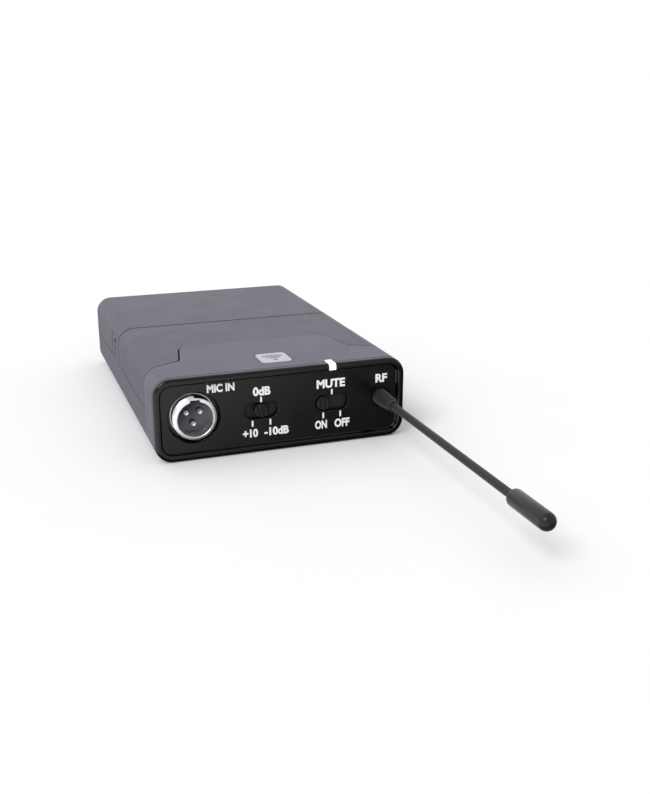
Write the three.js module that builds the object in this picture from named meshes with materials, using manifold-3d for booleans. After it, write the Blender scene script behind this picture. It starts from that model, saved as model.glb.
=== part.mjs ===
// A wireless bodypack transmitter: a small radio worn on a belt, with a microphone socket,
// two slide switches and a whip antenna on its control panel and a hinged battery door.
// Millimetres, +Z up. The pack lies on its belt clip side and the control panel faces -Y.
// Inside this file Y = 0 is the joint between the panel and the case; the finished group
// is moved so that its origin is the middle of the underside of the whole transmitter.

import * as THREE from 'three';
import Module from 'manifold-3d';
import { mergeVertices } from 'three/addons/utils/BufferGeometryUtils.js';

const wasm = await Module();
wasm.setup();

// ---------------------------------------------------------------- driving dimensions

const gap = 0.3; // assembly and running gap between separate pieces

// case
const width = 65;
const height = 21.1;
const caseLength = 95.5; // from the panel joint to the back end
const cornerRadius = 4.5; // along the four long edges
const endRound = 0.8; // edge of the back end
const wall = 1.8;
const lip = 0.9; // locating lips inside the joints
const lipReach = 2; // how far a lip reaches past its joint
const bossRadius = 3;

// front collar and its tongue on the top
const collarLength = 11;
const shoulderRise = 2.5; // the collar edge sweeps back towards the tongue
const shoulderInset = 4.3; // where the sweep starts, from the side
const tongueRoot = 22.6; // half width where the tongue leaves the shoulder
const tongueTip = 20; // half width at the back edge
const tongueEnd = 27;
const tongueCorner = 4;

// control panel
const rimWidth = 1.8;
const rimFront = -1.5;
const panelFace = -0.3;
const panelPlate = 1.2;
const skirtDepth = 2.5; // collar of the panel inside the case, behind its plate
const skirtWall = 0.8;

// badge on the tongue
const badgeWidth = 9;
const badgeLength = 10;
const badgeY = 9.1;
const badgeX = 0.8;
const badgeThickness = 0.5;
const badgeCorner = 1.6;

// microphone socket, a male miniature three pin connector
const socketFromSide = 10.1;
const socketHole = 6.5; // radius of the well in the panel
const wellWall = 0.6;
const wellDepth = 0.8; // behind the panel's plate
const barrelRadius = 5.35;
const barrelBore = 4.45;
const barrelFront = -1.5;
const barrelLength = 9.5;
const flangeRadius = 6.8;
const flangeDepth = 1;
const keyWidth = 2.4;
const keyDepth = 0.45;
const insertRecess = 3.9; // insert face behind the barrel's front
const contactRadius = 0.6;
const contactCircle = 1.95;
const contactRecess = 2.5;
const socketBlock = 13.2;
const socketBlockDepth = 8.7;
const contactTail = 3.6; // straight length behind the block

// slide switches
const gainX = -5.6;
const powerX = 13;
const detent = 2.3; // knob travel between two positions
const slotHeight = 4.2;
const knobRadius = 1.75;
const slotClear = 0.35; // from the knob to the end of its slot, at the end of its travel
const knobProud = 0.2; // knob edge above the panel face
const ribProud = 0.3; // finger ribs above the knob
const ribWidth = 0.5;
const shutter = 0.8; // sliding plate that closes the slot from behind
const shutterOverlap = 0.15;
const shutterMargin = 0.7; // shutter beyond the slot, above and below
const stem = 2; // square drive stem into the switch
const stemReach = 4.4;
const switchBody = 10;
const switchDepth = 6;
const switchTall = 5.4;

// status light guide
const guideX = 12.9;
const guideWidth = 1.8;
const guideBack = 2.5; // how far it runs back on the top of the case
const guideLow = 1.7; // how far it comes down the rim
const guideThickness = 1.5;
const guideDrop = 5.4; // inner leg, from the top to the light
const lampDepth = 1;
const lampBoard = 1;
const lampBoardWidth = 6.4;

// antenna
const antennaFromSide = 6;
const antennaHole = 2.55;
const bootRadius = 2.05;
const bootNeck = 1.45;
const bootEnd = -8.8;
const bootFlange = 2.9;
const bootFlangeDepth = 1.2;
const bootCollar = 1.2; // length of the small ring at the boot's end
const rodRadius = 0.95;
const rodInside = 6.5; // inner end of the whip, behind the joint
const tipRadius = 1.95;
const tipStart = -67.7;
const tipEnd = -81.7;
const tipSocket = 3; // how deep the whip sits in its tip
const antennaClipBack = 1.5; // spring contact behind the boot
const antennaClipHalf = 2.4;

// circuit board
const boardThickness = 1.6;
const boardTop = 7.5;
const boardFront = 3.2;
const boardMargin = 4.5; // board edge to case side
const boardScrewX = 20;
const boardScrewY = 30;
const boardBoss = 2.2;

// what stands on the board: middle in X and Y, width, length and height
const shield = [3, 30, 20, 20, 3.5];
const shieldSheet = 0.4;
const chip = [-16.5, 40.5, 9, 9, 1.2];
const crystalCan = [17.75, 24, 3.5, 8, 2.2];
const capacitor = { x: 19, y: 38, radius: 3.1, tall: 7.5 };

// screws
const caseScrewFromSide = 6.5;
const caseScrewFrontY = 20;
const caseScrewBack = 4.1; // from the battery door
const screwHead = 2;
const screwHeadTall = 1.4;
const screwShank = 1;
const boardScrewHead = 1.7;
const boardScrewHeadTall = 1.1;
const boardScrewShank = 0.8;
const crossWidth = 0.25; // half width of the cross recess in a screw head
const headSink = 0.7; // head below the underside

// battery door, hinged along the back end
const doorLength = 43.9;
const doorKnuckle = 1.3;
const doorPin = 0.5;
const doorRelief = 1.6; // door wall above the pin line between knuckles
const doorWeb = 1.1; // depth of the webs that carry the door's knuckles
const knuckleSpan = [29, 20, 4]; // half widths of the case knuckles, outer then middle
const pinFromSide = 1;
const latchLength = 10.8;
const latchTall = 7.2;
const latchSlit = 0.8; // open slit behind the latch
const hookThickness = 0.8;
const hookReach = 2;
const hookLength = 5;
const hookRise = 1.5; // how far the hook's foot reaches up inside the latch

// batteries, two AA cells lying across the case
const cellRadius = 7.25;
const cellLength = 50.5;
const cellNub = 1;
const cellNubRadius = 2.7;
const cellSpace = 0.5; // between the two cells
const cellsFromBack = 23.8; // middle of the pair, from the back end
const springLength = 2.6;
const springWire = 0.3;
const springTurns = 2.5;
const springWide = 3.2;
const contactPlate = 0.4;
const trayWall = 0.9;
const trayMargin = 1.7; // tray beyond the cells, front and back
const trayTall = 6.3;
const trayEndTall = 13;
const plateHalf = 4.5; // half length of a contact plate
const plateLow = 4; // below and above the cell's axis
const plateHigh = 3.5;
const tailHalf = 1.5; // half width of a solder tail
const leadRadius = 0.6;

// belt clip, folded flush into the underside
const clipHalf = 10;
const clipThickness = 0.8;
const clipSunk = 0.35; // outer face above the resting plane
const clipPivotY = 40;
const clipLength = 46;
const clipKnuckle = 1.1;
const clipPin = 0.5;
const clipSide = 1.5; // recess beyond the clip, each side
const clipCorner = 3;
const recessDepth = 2.4;
const recessDeep = 3; // depth at the pivot
const recessWall = 1;
const clipSpringTurns = 5;
const clipSpringWire = 0.2;
const clipSpringHalf = 3.4;

// derived places
const slotLength = 2 * (knobRadius + detent + slotClear);
const half = width / 2;
const middle = height / 2;
const socketX = -half + socketFromSide;
const antennaX = half - antennaFromSide;
const inner = half - wall;
const doorFront = caseLength - doorLength;
const cellsY = caseLength - cellsFromBack;
const cellOffset = cellRadius + cellSpace / 2;
const cellZ = recessDepth + recessWall + gap + cellRadius + gap - 0.05;
const pinY = caseLength - doorKnuckle;
const boardBottom = boardTop - boardThickness;
const onBoard = boardTop + gap;
const plateBack = panelFace + panelPlate;
const shutterFront = plateBack + gap;
const switchFront = shutterFront + shutter + 1.4;
const trayHalf = cellLength / 2 + (springLength + 4 * gap + 2 * contactPlate) / 2 + trayWall;
const trayFront = cellsY - 2 * cellOffset + cellSpace / 2 - trayMargin + gap;
const trayBack = 2 * cellsY - trayFront;
const trayBottom = recessDepth + recessWall + gap;

// ---------------------------------------------------------------- shape helpers

function solid(geometry) {
  const plain = new THREE.BufferGeometry();
  plain.setAttribute('position', geometry.getAttribute('position'));
  plain.setIndex(geometry.index);
  const merged = mergeVertices(plain, 1e-4);
  const vertProperties = Float32Array.from(merged.attributes.position.array);
  const triVerts = Uint32Array.from(merged.index.array);
  return new wasm.Manifold(new wasm.Mesh({ numProp: 3, vertProperties, triVerts }));
}

function join(first, ...others) {
  return others.reduce((sum, other) => sum.add(other), first);
}

function cut(first, ...others) {
  return others.reduce((rest, other) => rest.subtract(other), first);
}

function box(x0, x1, y0, y1, z0, z1) {
  const geometry = new THREE.BoxGeometry(x1 - x0, y1 - y0, z1 - z0);
  geometry.translate((x0 + x1) / 2, (y0 + y1) / 2, (z0 + z1) / 2);
  return solid(geometry);
}

// a box on the left (-1) or right (1), from near to far off the middle plane
function sideBox(side, near, far, y0, y1, z0, z1) {
  return side > 0 ? box(near, far, y0, y1, z0, z1) : box(-far, -near, y0, y1, z0, z1);
}

// round bars along each axis
function barY(radius, y0, y1, x, z, sides = 24) {
  const geometry = new THREE.CylinderGeometry(radius, radius, y1 - y0, sides);
  geometry.translate(x, (y0 + y1) / 2, z);
  return solid(geometry);
}

function barZ(radius, z0, z1, x, y, sides = 16) {
  const geometry = new THREE.CylinderGeometry(radius, radius, z1 - z0, sides);
  geometry.rotateX(Math.PI / 2);
  geometry.translate(x, y, (z0 + z1) / 2);
  return solid(geometry);
}

function barX(radius, x0, x1, y, z, sides = 16) {
  const geometry = new THREE.CylinderGeometry(radius, radius, x1 - x0, sides);
  geometry.rotateZ(Math.PI / 2);
  geometry.translate((x0 + x1) / 2, y, z);
  return solid(geometry);
}

function roundedRect(x0, x1, z0, z1, radius) {
  const r = Math.max(radius, 0.4);
  const shape = new THREE.Shape();
  shape.absarc(x1 - r, z0 + r, r, -Math.PI / 2, 0);
  shape.absarc(x1 - r, z1 - r, r, 0, Math.PI / 2);
  shape.absarc(x0 + r, z1 - r, r, Math.PI / 2, Math.PI);
  shape.absarc(x0 + r, z0 + r, r, Math.PI, Math.PI * 1.5);
  return shape;
}

// an outline drawn in X and Z, run along Y
function alongY(shape, y0, y1, curveSegments = 3) {
  const depth = y1 - y0;
  const geometry = new THREE.ExtrudeGeometry(shape, { depth, bevelEnabled: false, curveSegments });
  geometry.rotateX(Math.PI / 2);
  geometry.translate(0, y1, 0);
  return solid(geometry);
}

// an outline drawn in X and Y, run along Z
function alongZ(shape, z0, z1, curveSegments = 2) {
  const depth = z1 - z0;
  const geometry = new THREE.ExtrudeGeometry(shape, { depth, bevelEnabled: false, curveSegments });
  geometry.translate(0, 0, z0);
  return solid(geometry);
}

// the case section, set in from the outer skin
function section(y0, y1, inset = 0) {
  const side = half - inset;
  const shape = roundedRect(-side, side, inset, height - inset, cornerRadius - inset);
  return alongY(shape, y0, y1);
}

// the case section with a rounded back edge
function endSection(y0, y1) {
  const depth = y1 - y0;
  const shape = roundedRect(-half, half, 0, height, cornerRadius);
  const geometry = new THREE.ExtrudeGeometry(shape, {
    depth,
    curveSegments: 3,
    bevelThickness: endRound,
    bevelSize: endRound,
    bevelOffset: -endRound,
    bevelSegments: 2,
  });
  geometry.rotateX(Math.PI / 2);
  geometry.translate(0, y1 - endRound, 0);
  return solid(geometry).intersect(box(-width, width, y0, y1 + 1, -1, height + 1));
}

// a profile of radius and Y, turned about the Y axis
function turned(profile, sides = 24) {
  const points = profile.map(([radius, y]) => new THREE.Vector2(radius, y));
  return solid(new THREE.LatheGeometry(points, sides));
}

// a wire or cable of round section along a curve
function wire(curve, radius, steps, sides) {
  const ring = new THREE.Shape();
  ring.absarc(0, 0, radius, 0, Math.PI * 2);
  const options = { steps, extrudePath: curve, curveSegments: sides / 2 };
  return solid(new THREE.ExtrudeGeometry(ring, options));
}

// a coil about the X axis, its radius changing evenly from start to end
class Coil extends THREE.Curve {
  constructor(x0, x1, startRadius, endRadius, turns) {
    super();
    Object.assign(this, { x0, x1, startRadius, endRadius, turns });
  }

  getPoint(t, target = new THREE.Vector3()) {
    const angle = t * this.turns * Math.PI * 2;
    const radius = THREE.MathUtils.lerp(this.startRadius, this.endRadius, t);
    const x = THREE.MathUtils.lerp(this.x0, this.x1, t);
    return target.set(x, radius * Math.cos(angle), radius * Math.sin(angle));
  }
}

// ---------------------------------------------------------------- finishes and nodes

function finish(color, roughness, metalness = 0) {
  return { color, roughness, metalness };
}

const greyCase = finish('#7b7b81', 0.5);
const greyLight = finish('#84848b', 0.5);
const pianoBlack = finish('#131316', 0.15);
const darkPlastic = finish('#2a2a2d', 0.45);
const blackRubber = finish('#2e2e31', 0.7);
const nickel = finish('#d8d8da', 0.2, 1);
const springSteel = finish('#9a9a9c', 0.35, 1);
const badgeGrey = finish('#c9c9cc', 0.4);
const clearGuide = finish('#f4f4f4', 0.2);
const boardGreen = finish('#1f5a36', 0.5);
const tin = finish('#b9bbbd', 0.35, 1);
const cellSleeve = finish('#c8862c', 0.4);
const redWire = finish('#b32020', 0.5);
const blackWire = finish('#1c1c1c', 0.5);

function node(name, shape, look) {
  const { vertProperties, triVerts } = shape.getMesh();
  const geometry = new THREE.BufferGeometry();
  geometry.setAttribute('position', new THREE.BufferAttribute(vertProperties, 3));
  geometry.setIndex(new THREE.BufferAttribute(triVerts, 1));
  geometry.computeVertexNormals();
  const mesh = new THREE.Mesh(geometry, new THREE.MeshStandardMaterial(look));
  mesh.name = name;
  return mesh;
}

// ---------------------------------------------------------------- case mouldings

// The plan of the collar: straight at the sides, swept shoulders and a tongue. grow moves
// the whole edge back and out, to make the matching cut in the middle cover.
function collarPlan(grow) {
  const side = half + 1;
  const shoulder = collarLength + grow;
  const root = tongueRoot + grow;
  const tip = tongueTip + grow;
  const back = tongueEnd + grow;
  const rise = shoulder + shoulderRise;
  const shape = new THREE.Shape();
  shape.moveTo(-side, -5);
  shape.lineTo(side, -5);
  shape.lineTo(side, shoulder);
  shape.lineTo(half - shoulderInset, shoulder + gap);
  shape.lineTo(root + 1.2, rise - 0.3);
  shape.quadraticCurveTo(root, rise, root - 0.3, rise + 1.5);
  shape.lineTo(tip + 0.7, back - tongueCorner);
  shape.quadraticCurveTo(tip, back, tip - tongueCorner, back);
  shape.lineTo(-tip + tongueCorner, back);
  shape.quadraticCurveTo(-tip, back, -tip - 0.7, back - tongueCorner);
  shape.lineTo(-root + 0.3, rise + 1.5);
  shape.quadraticCurveTo(-root, rise, -root - 1.2, rise - 0.3);
  shape.lineTo(-half + shoulderInset, shoulder + gap);
  shape.lineTo(-side, shoulder);
  return alongZ(shape, middle, height + 1, 4);
}

function guideSlot(extra, depth = guideLow) {
  const x0 = guideX - guideWidth / 2 - extra;
  const x1 = guideX + guideWidth / 2 + extra;
  return box(x0, x1, rimFront - 1, guideBack + extra, height - depth - extra, height + 1);
}

// room for the guide's inner leg
function guideShaft(extra) {
  const x0 = guideX - guideWidth / 2 - extra;
  const x1 = guideX + guideWidth / 2 + extra;
  return box(x0, x1, plateBack, guideBack + 2, height - guideDrop - extra, height);
}

function badgePocket() {
  const x0 = badgeX - badgeWidth / 2;
  const y0 = badgeY - badgeLength / 2;
  const x1 = x0 + badgeWidth + gap;
  const shape = roundedRect(x0 - gap, x1, y0 - gap, y0 + badgeLength + gap, badgeCorner + gap);
  return alongZ(shape, height - badgeThickness - gap, height + 1);
}

function frontCollar() {
  const skin = cut(section(gap, tongueEnd + 1), section(0, tongueEnd + 2, wall));
  const low = box(-width, width, 0, collarLength, -1, middle);
  const ring = skin.intersect(join(collarPlan(0), low));
  const step = cut(section(collarLength - 3, collarLength, wall - 0.1), section(0, 20, wall + gap + lip));
  const reach = section(collarLength - 1, collarLength + lipReach, wall + gap);
  const tube = cut(reach, section(0, 20, wall + gap + lip));
  return cut(join(ring, step, tube), guideSlot(gap, Math.max(guideLow, wall)), badgePocket());
}

function frontPanel() {
  const rim = cut(section(rimFront, 0), section(rimFront - 1, panelFace, rimWidth));
  const plate = section(panelFace, plateBack, wall + gap);
  const skirtBack = plateBack + skirtDepth;
  const skirt = cut(section(0, skirtBack, wall + gap), section(0, skirtBack + 1, wall + gap + skirtWall));
  const well = barY(socketHole + wellWall, 0, plateBack + wellDepth, socketX, middle, 32);
  const body = join(rim, plate, skirt, well);
  const holes = [
    barY(socketHole, panelFace - 1, plateBack, socketX, middle, 32),
    barY(barrelRadius + gap, 0, 5, socketX, middle, 32),
    barY(antennaHole, panelFace - 1, 5, antennaX, middle),
    barY(bootFlange + gap, plateBack, skirtBack + 1, antennaX, middle),
    slot(gainX),
    slot(powerX),
    guideSlot(gap),
    guideShaft(gap),
  ];
  return cut(body, ...holes);
}

function slot(x) {
  const reach = slotLength / 2;
  const high = slotHeight / 2;
  const shape = roundedRect(x - reach, x + reach, middle - high, middle + high, high);
  return alongY(shape, panelFace - 1, 5, 4);
}

function caseScrewPlaces() {
  const x = half - caseScrewFromSide;
  const back = doorFront - caseScrewBack;
  return [[-x, caseScrewFrontY], [x, caseScrewFrontY], [-x, back], [x, back]];
}

function middleCover() {
  const skin = cut(section(collarLength, doorFront - gap / 2), section(0, caseLength, wall));
  const top = skin.intersect(box(-width, width, 0, caseLength, middle + gap / 2, height + 1));
  let cover = cut(top, collarPlan(gap));
  for (const [x, y] of caseScrewPlaces()) {
    const boss = barZ(bossRadius - 0.4, middle + gap / 2, height - wall + 0.2, x, y);
    cover = cut(join(cover, boss), barZ(screwShank + gap, middle - 1, height - wall - 2.5, x, y, 12));
  }
  return cover;
}

// hinge knuckle ranges across the back: the case has three, the door fills the two between
// and the two ends
function caseKnuckles() {
  const [outer, step, centre] = knuckleSpan;
  return [[-outer, -step], [-centre, centre], [step, outer]];
}

function doorKnuckles() {
  const [outer, step, centre] = knuckleSpan;
  return [
    [-half, -outer - gap],
    [-step + gap, -centre - gap],
    [centre + gap, step - gap],
    [outer + gap, half],
  ];
}

function batteryDoor() {
  const blank = cut(endSection(doorFront + gap / 2, caseLength), section(0, caseLength - wall, wall));
  const top = blank.intersect(box(-width, width, 0, caseLength + 1, middle + gap / 2, height + 1));
  const relief = box(-width, width, pinY - doorRelief - gap, caseLength + 1, 0, middle + doorRelief);
  const outline = endSection(doorFront, caseLength);
  let door = cut(top, relief);
  for (const [x0, x1] of doorKnuckles()) {
    const webFront = caseLength - wall;
    const web = box(x0, x1, webFront, webFront + doorWeb, middle, middle + doorRelief + 0.5);
    const knuckle = barX(doorKnuckle, x0, x1, pinY, middle, 24);
    door = join(door, join(web, knuckle).intersect(outline));
  }
  const pinEnd = half - pinFromSide + gap;
  door = cut(door, barX(doorPin + gap, -pinEnd, pinEnd, pinY, middle, 12));
  for (const side of [-1, 1]) {
    const x = side * half;
    const y0 = doorFront;
    const z1 = middle + gap / 2 + latchTall + gap;
    const y1 = y0 + gap / 2 + latchLength + latchSlit;
    door = cut(door, box(x - wall - 0.5, x + wall + 0.5, y0, y1, 0, z1));
  }
  return door;
}

// the squeeze latch in the side of the door: a tongue of the side wall with a hook below
function latch(side) {
  const y0 = doorFront + gap / 2;
  const z0 = middle + gap / 2;
  const wallPlate = cut(section(y0, y0 + latchLength), section(0, caseLength, wall));
  const room = sideBox(side, inner - 0.1, half + 1, y0, caseLength, z0, z0 + latchTall);
  const tongue = wallPlate.intersect(room);
  const face = inner - gap;
  const hookBack = y0 + (latchLength + hookLength) / 2;
  const hookFront = hookBack - hookLength;
  const foot = z0 + hookRise;
  const hook = sideBox(side, face - hookThickness, face, hookFront, hookBack, z0 - hookReach, foot);
  const bridge = sideBox(side, face - hookThickness, inner + 0.2, hookFront, hookBack, z0, foot);
  return join(tongue, hook, bridge);
}

function lowerShell() {
  const blank = cut(endSection(collarLength + gap, caseLength), section(0, caseLength - wall, wall));
  let shell = blank.intersect(box(-width, width, 0, caseLength + 1, -1, middle - gap / 2));
  const recessHalf = clipHalf + clipSide;
  const clipEnd = clipPivotY + clipLength;
  const ceiling = recessDepth + recessWall;
  const deepCeiling = recessDeep + recessWall;
  const pad = recessWall + 1;
  shell = join(
    shell,
    box(-recessHalf - pad, recessHalf + pad, clipPivotY - 4, clipEnd + 3, 0.5, ceiling),
    box(-recessHalf - pad - 1, recessHalf + pad + 1, clipPivotY - 4, clipPivotY + 4, 0.5, deepCeiling),
  );
  shell = cut(
    shell,
    box(-recessHalf, recessHalf, clipPivotY - 2.4, clipEnd + 1.5, -1, recessDepth),
    box(-recessHalf, recessHalf, clipPivotY - 2.4, clipPivotY + 2.4, -1, recessDeep),
    barX(clipPin + gap, -recessHalf - pad, recessHalf + pad, clipPivotY, clipAxisZ(), 12),
  );
  for (const [x, y] of caseScrewPlaces()) {
    const boss = barZ(bossRadius, wall - 0.2, middle - gap / 2, x, y);
    const shaft = barZ(screwShank + gap, 0, height, x, y, 12);
    const sink = barZ(screwHead + gap, -1, headSink + screwHeadTall + gap, x, y);
    shell = cut(join(shell, boss), shaft, sink);
  }
  for (const x of [-boardScrewX, boardScrewX]) {
    const boss = barZ(boardBoss, wall - 0.2, boardBottom - gap, x, boardScrewY, 16);
    shell = cut(join(shell, boss), barZ(boardScrewShank + gap, wall, height, x, boardScrewY, 12));
  }
  return hingeSide(shell);
}

function hingeSide(shell) {
  let hinged = shell;
  for (const [x0, x1] of doorKnuckles()) {
    hinged = cut(hinged, barX(doorKnuckle + gap, x0 - gap, x1 + gap, pinY, middle, 24));
  }
  for (const [x0, x1] of caseKnuckles()) {
    const web = box(x0, x1, caseLength - wall, caseLength, middle - 2, middle);
    hinged = join(hinged, web, barX(doorKnuckle, x0, x1, pinY, middle, 24));
  }
  return cut(hinged, barX(doorPin + gap, -width, width, pinY, middle, 12));
}

function badge() {
  const x0 = badgeX - badgeWidth / 2;
  const y0 = badgeY - badgeLength / 2;
  const shape = roundedRect(x0, x0 + badgeWidth, y0, y0 + badgeLength, badgeCorner);
  return alongZ(shape, height - badgeThickness, height);
}

// ---------------------------------------------------------------- control panel pieces

// light guide: over the rim, down inside the case and back to the lamp
function lightGuide() {
  const x0 = guideX - guideWidth / 2;
  const x1 = guideX + guideWidth / 2;
  const legFront = plateBack + gap;
  const top = box(x0, x1, rimFront, guideBack, height - guideThickness, height);
  const front = box(x0, x1, rimFront, panelFace - 0.1, height - guideLow, height);
  const leg = box(x0, x1, legFront, guideBack, height - guideDrop, height);
  const low = height - guideDrop;
  const back = box(x0, x1, legFront, lampFront() - gap, low, low + guideThickness);
  return join(top, front, leg, back);
}

function lampFront() {
  return switchFront + switchDepth + gap - lampDepth;
}

function lamp() {
  const z = height - guideDrop + guideThickness / 2;
  return box(guideX - 0.8, guideX + 0.8, lampFront(), lampFront() + lampDepth, z - 0.8, z + 0.8);
}

function lampCard() {
  const y0 = lampFront() + lampDepth + gap;
  const x0 = guideX - lampBoardWidth / 2;
  const top = height - guideDrop + guideThickness + 0.5;
  return box(x0, x0 + lampBoardWidth, y0, y0 + lampBoard, onBoard, top);
}

// One moulding: the round ribbed knob, the shutter that closes the slot and the drive stem.
// Drawn about the knob's own axis.
function slideKnob() {
  const cover = slotLength / 2 + detent + shutterOverlap;
  const tall = slotHeight / 2 + shutterMargin;
  const stemEnd = shutterFront + shutter + stemReach;
  const face = panelFace - knobProud;
  const plate = box(-cover, cover, shutterFront, shutterFront + shutter, -tall, tall);
  const drive = box(-stem / 2, stem / 2, shutterFront, stemEnd, -stem / 2, stem / 2);
  let knob = join(plate, drive, barY(knobRadius, face, shutterFront + 0.1, 0, 0));
  const crown = barY(knobRadius - 0.2, face - ribProud, face + 0.1, 0, 0);
  for (const x of [-2 * ribWidth, 0, 2 * ribWidth]) {
    knob = join(knob, crown.intersect(box(x - ribWidth / 2, x + ribWidth / 2, face - 1, 0, -3, 3)));
  }
  return knob;
}

// drawn about the middle of its slot
function switchHousing() {
  const y1 = switchFront + switchDepth;
  const z0 = onBoard - middle;
  const body = box(-switchBody / 2, switchBody / 2, switchFront, y1, z0, z0 + switchTall);
  const reach = stem / 2 + detent + gap;
  const high = stem / 2 + gap;
  const depth = shutterFront + shutter + stemReach + gap;
  return cut(body, box(-reach, reach, switchFront - 1, depth, -high, high));
}

// ---------------------------------------------------------------- microphone socket

// All drawn about the socket's own axis.
function barrel() {
  const back = barrelFront + barrelLength;
  const flangeFront = plateBack + wellDepth + gap;
  const tube = barY(barrelRadius, barrelFront, back, 0, 0, 32);
  const flange = barY(flangeRadius, flangeFront, flangeFront + flangeDepth, 0, 0, 32);
  const bore = barY(barrelBore, barrelFront - 1, back + 1, 0, 0, 32);
  const key = box(-keyWidth / 2, keyWidth / 2, barrelFront - 1, insertFace(), 0, barrelBore + keyDepth);
  return cut(join(tube, flange), bore, key);
}

function insertFace() {
  return barrelFront + insertRecess;
}

function contactPlaces() {
  return [150, 30, 270].map((degrees) => {
    const angle = THREE.MathUtils.degToRad(degrees);
    return [contactCircle * Math.cos(angle), contactCircle * Math.sin(angle)];
  });
}

function insert() {
  const body = barY(barrelBore - gap, insertFace(), barrelFront + barrelLength, 0, 0, 28);
  const holes = contactPlaces().map(([x, z]) => barY(contactRadius + gap, -5, 20, x, z, 12));
  return cut(body, ...holes);
}

function blockFront() {
  return plateBack + wellDepth + gap + flangeDepth + gap;
}

function socketHousing() {
  const back = barrelFront + barrelLength;
  const y0 = blockFront();
  const side = socketBlock / 2;
  const body = box(-side, side, y0, y0 + socketBlockDepth, -side, side);
  const holes = contactPlaces().map(([x, z]) => barY(contactRadius + gap, 0, 30, x, z, 12));
  return cut(body, barY(barrelRadius + gap, 0, back + gap, 0, 0, 32), ...holes);
}

function contact([x, z]) {
  const tail = blockFront() + socketBlockDepth + contactTail;
  const pin = barY(contactRadius, barrelFront + contactRecess, tail, x, z, 12);
  const leg = barZ(contactRadius, boardBottom - middle - 0.6, z, x, tail - contactRadius, 12);
  return join(pin, leg);
}

// ---------------------------------------------------------------- antenna

// Drawn about the antenna's own axis.
function antennaBoot() {
  const bore = rodRadius + gap;
  const flangeFront = plateBack + gap;
  const flangeBack = flangeFront + bootFlangeDepth;
  return turned([
    [bore, bootEnd],
    [bootNeck, bootEnd],
    [bootNeck, bootEnd + bootCollar],
    [bootNeck + 0.15, bootEnd + bootCollar],
    [bootNeck + 0.25, bootEnd + 3],
    [bootRadius, panelFace - 1],
    [bootRadius, flangeFront],
    [bootFlange, flangeFront],
    [bootFlange, flangeBack],
    [bore, flangeBack],
    [bore, bootEnd],
  ]);
}

function antennaTip() {
  const round = tipRadius;
  const bore = rodRadius + gap;
  const dome = [];
  for (let i = 0; i <= 5; i += 1) {
    const angle = (i / 5) * (Math.PI / 2);
    dome.push([round * Math.sin(angle), tipEnd + round - round * Math.cos(angle)]);
  }
  const sleeve = [[round, tipStart - 0.6], [round - 0.35, tipStart], [bore, tipStart]];
  return turned([...dome, ...sleeve, [bore, tipStart - tipSocket], [0, tipStart - tipSocket]], 20);
}

function antennaContact() {
  const wide = antennaClipHalf;
  const y0 = plateBack + gap + bootFlangeDepth + antennaClipBack;
  const low = onBoard - middle;
  const upright = box(-wide, wide, y0, y0 + 0.5, low, rodRadius + gap + 1.2);
  const foot = box(-wide, wide - 1, y0, y0 + 4, low, low + 0.4);
  return cut(join(upright, foot), barY(rodRadius + gap, 0, 20, 0, 0, 16));
}

// ---------------------------------------------------------------- electronics

function mainBoard() {
  const edge = half - boardMargin;
  const back = doorFront - 2;
  const notchEnd = socketX + socketBlock / 2 + gap;
  const notchBack = blockFront() + socketBlockDepth + gap;
  let board = box(-edge, edge, boardFront, back, boardBottom, boardTop);
  board = cut(board, box(-half, notchEnd, 0, notchBack, 0, height));
  for (const [x, y] of caseScrewPlaces()) {
    board = cut(board, barZ(bossRadius + gap, 0, height, x, y));
  }
  for (const x of [-boardScrewX, boardScrewX]) {
    board = cut(board, barZ(boardScrewShank + gap, 0, height, x, boardScrewY, 12));
  }
  const holeY = blockFront() + socketBlockDepth + contactTail - contactRadius;
  for (const [x] of contactPlaces()) {
    board = cut(board, barZ(contactRadius + gap, 0, height, socketX + x, holeY, 12));
  }
  return board;
}

function component([x, y, wide, long, tall]) {
  return box(x - wide / 2, x + wide / 2, y - long / 2, y + long / 2, onBoard, onBoard + tall);
}

// a folded sheet can, open below
function shieldCan() {
  const [x, y, wide, long, tall] = shield;
  const inside = component([x, y, wide - 2 * shieldSheet, long - 2 * shieldSheet, tall - shieldSheet]);
  return cut(component(shield), inside.translate([0, 0, -gap]).add(inside));
}

// ---------------------------------------------------------------- batteries

// a cell along X with its nub towards +X, drawn about its own middle
function cell() {
  const end = cellLength / 2;
  const body = barX(cellRadius, -end, end - cellNub, 0, 0, 28);
  return join(body, barX(cellNubRadius, end - cellNub - 0.1, end, 0, 0, 16));
}

function cellShift() {
  return (springLength + 2 * gap - gap) / 2;
}

function batteryTray() {
  const inside = trayHalf - trayWall;
  const cradle = box(-trayHalf, trayHalf, trayFront, trayBack, trayBottom, trayBottom + trayTall);
  let tray = cradle;
  for (const side of [-1, 1]) {
    const x = side * (inside + trayWall / 2);
    const z1 = trayBottom + trayEndTall;
    tray = join(tray, box(x - trayWall / 2, x + trayWall / 2, trayFront + 1, trayBack - 1, trayBottom, z1));
  }
  for (const y of [cellsY - cellOffset, cellsY + cellOffset]) {
    tray = cut(tray, barX(cellRadius + gap, -inside, inside, y, cellZ, 28));
    const z0 = cellZ - plateLow;
    const tail = tailHalf + gap;
    tray = cut(tray, box(inside - 1, trayHalf + 1, y - tail, y + tail, z0 - gap, z0 + 1 + gap));
  }
  const pocket = platePlace() - gap;
  for (const side of [-1, 1]) {
    const low = cellZ - plateLow - gap;
    tray = cut(tray, sideBox(side, pocket, inside, trayFront + 1, trayBack - 1, low, height));
  }
  return tray;
}

function platePlace() {
  return trayHalf - trayWall - gap - contactPlate;
}

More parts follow.
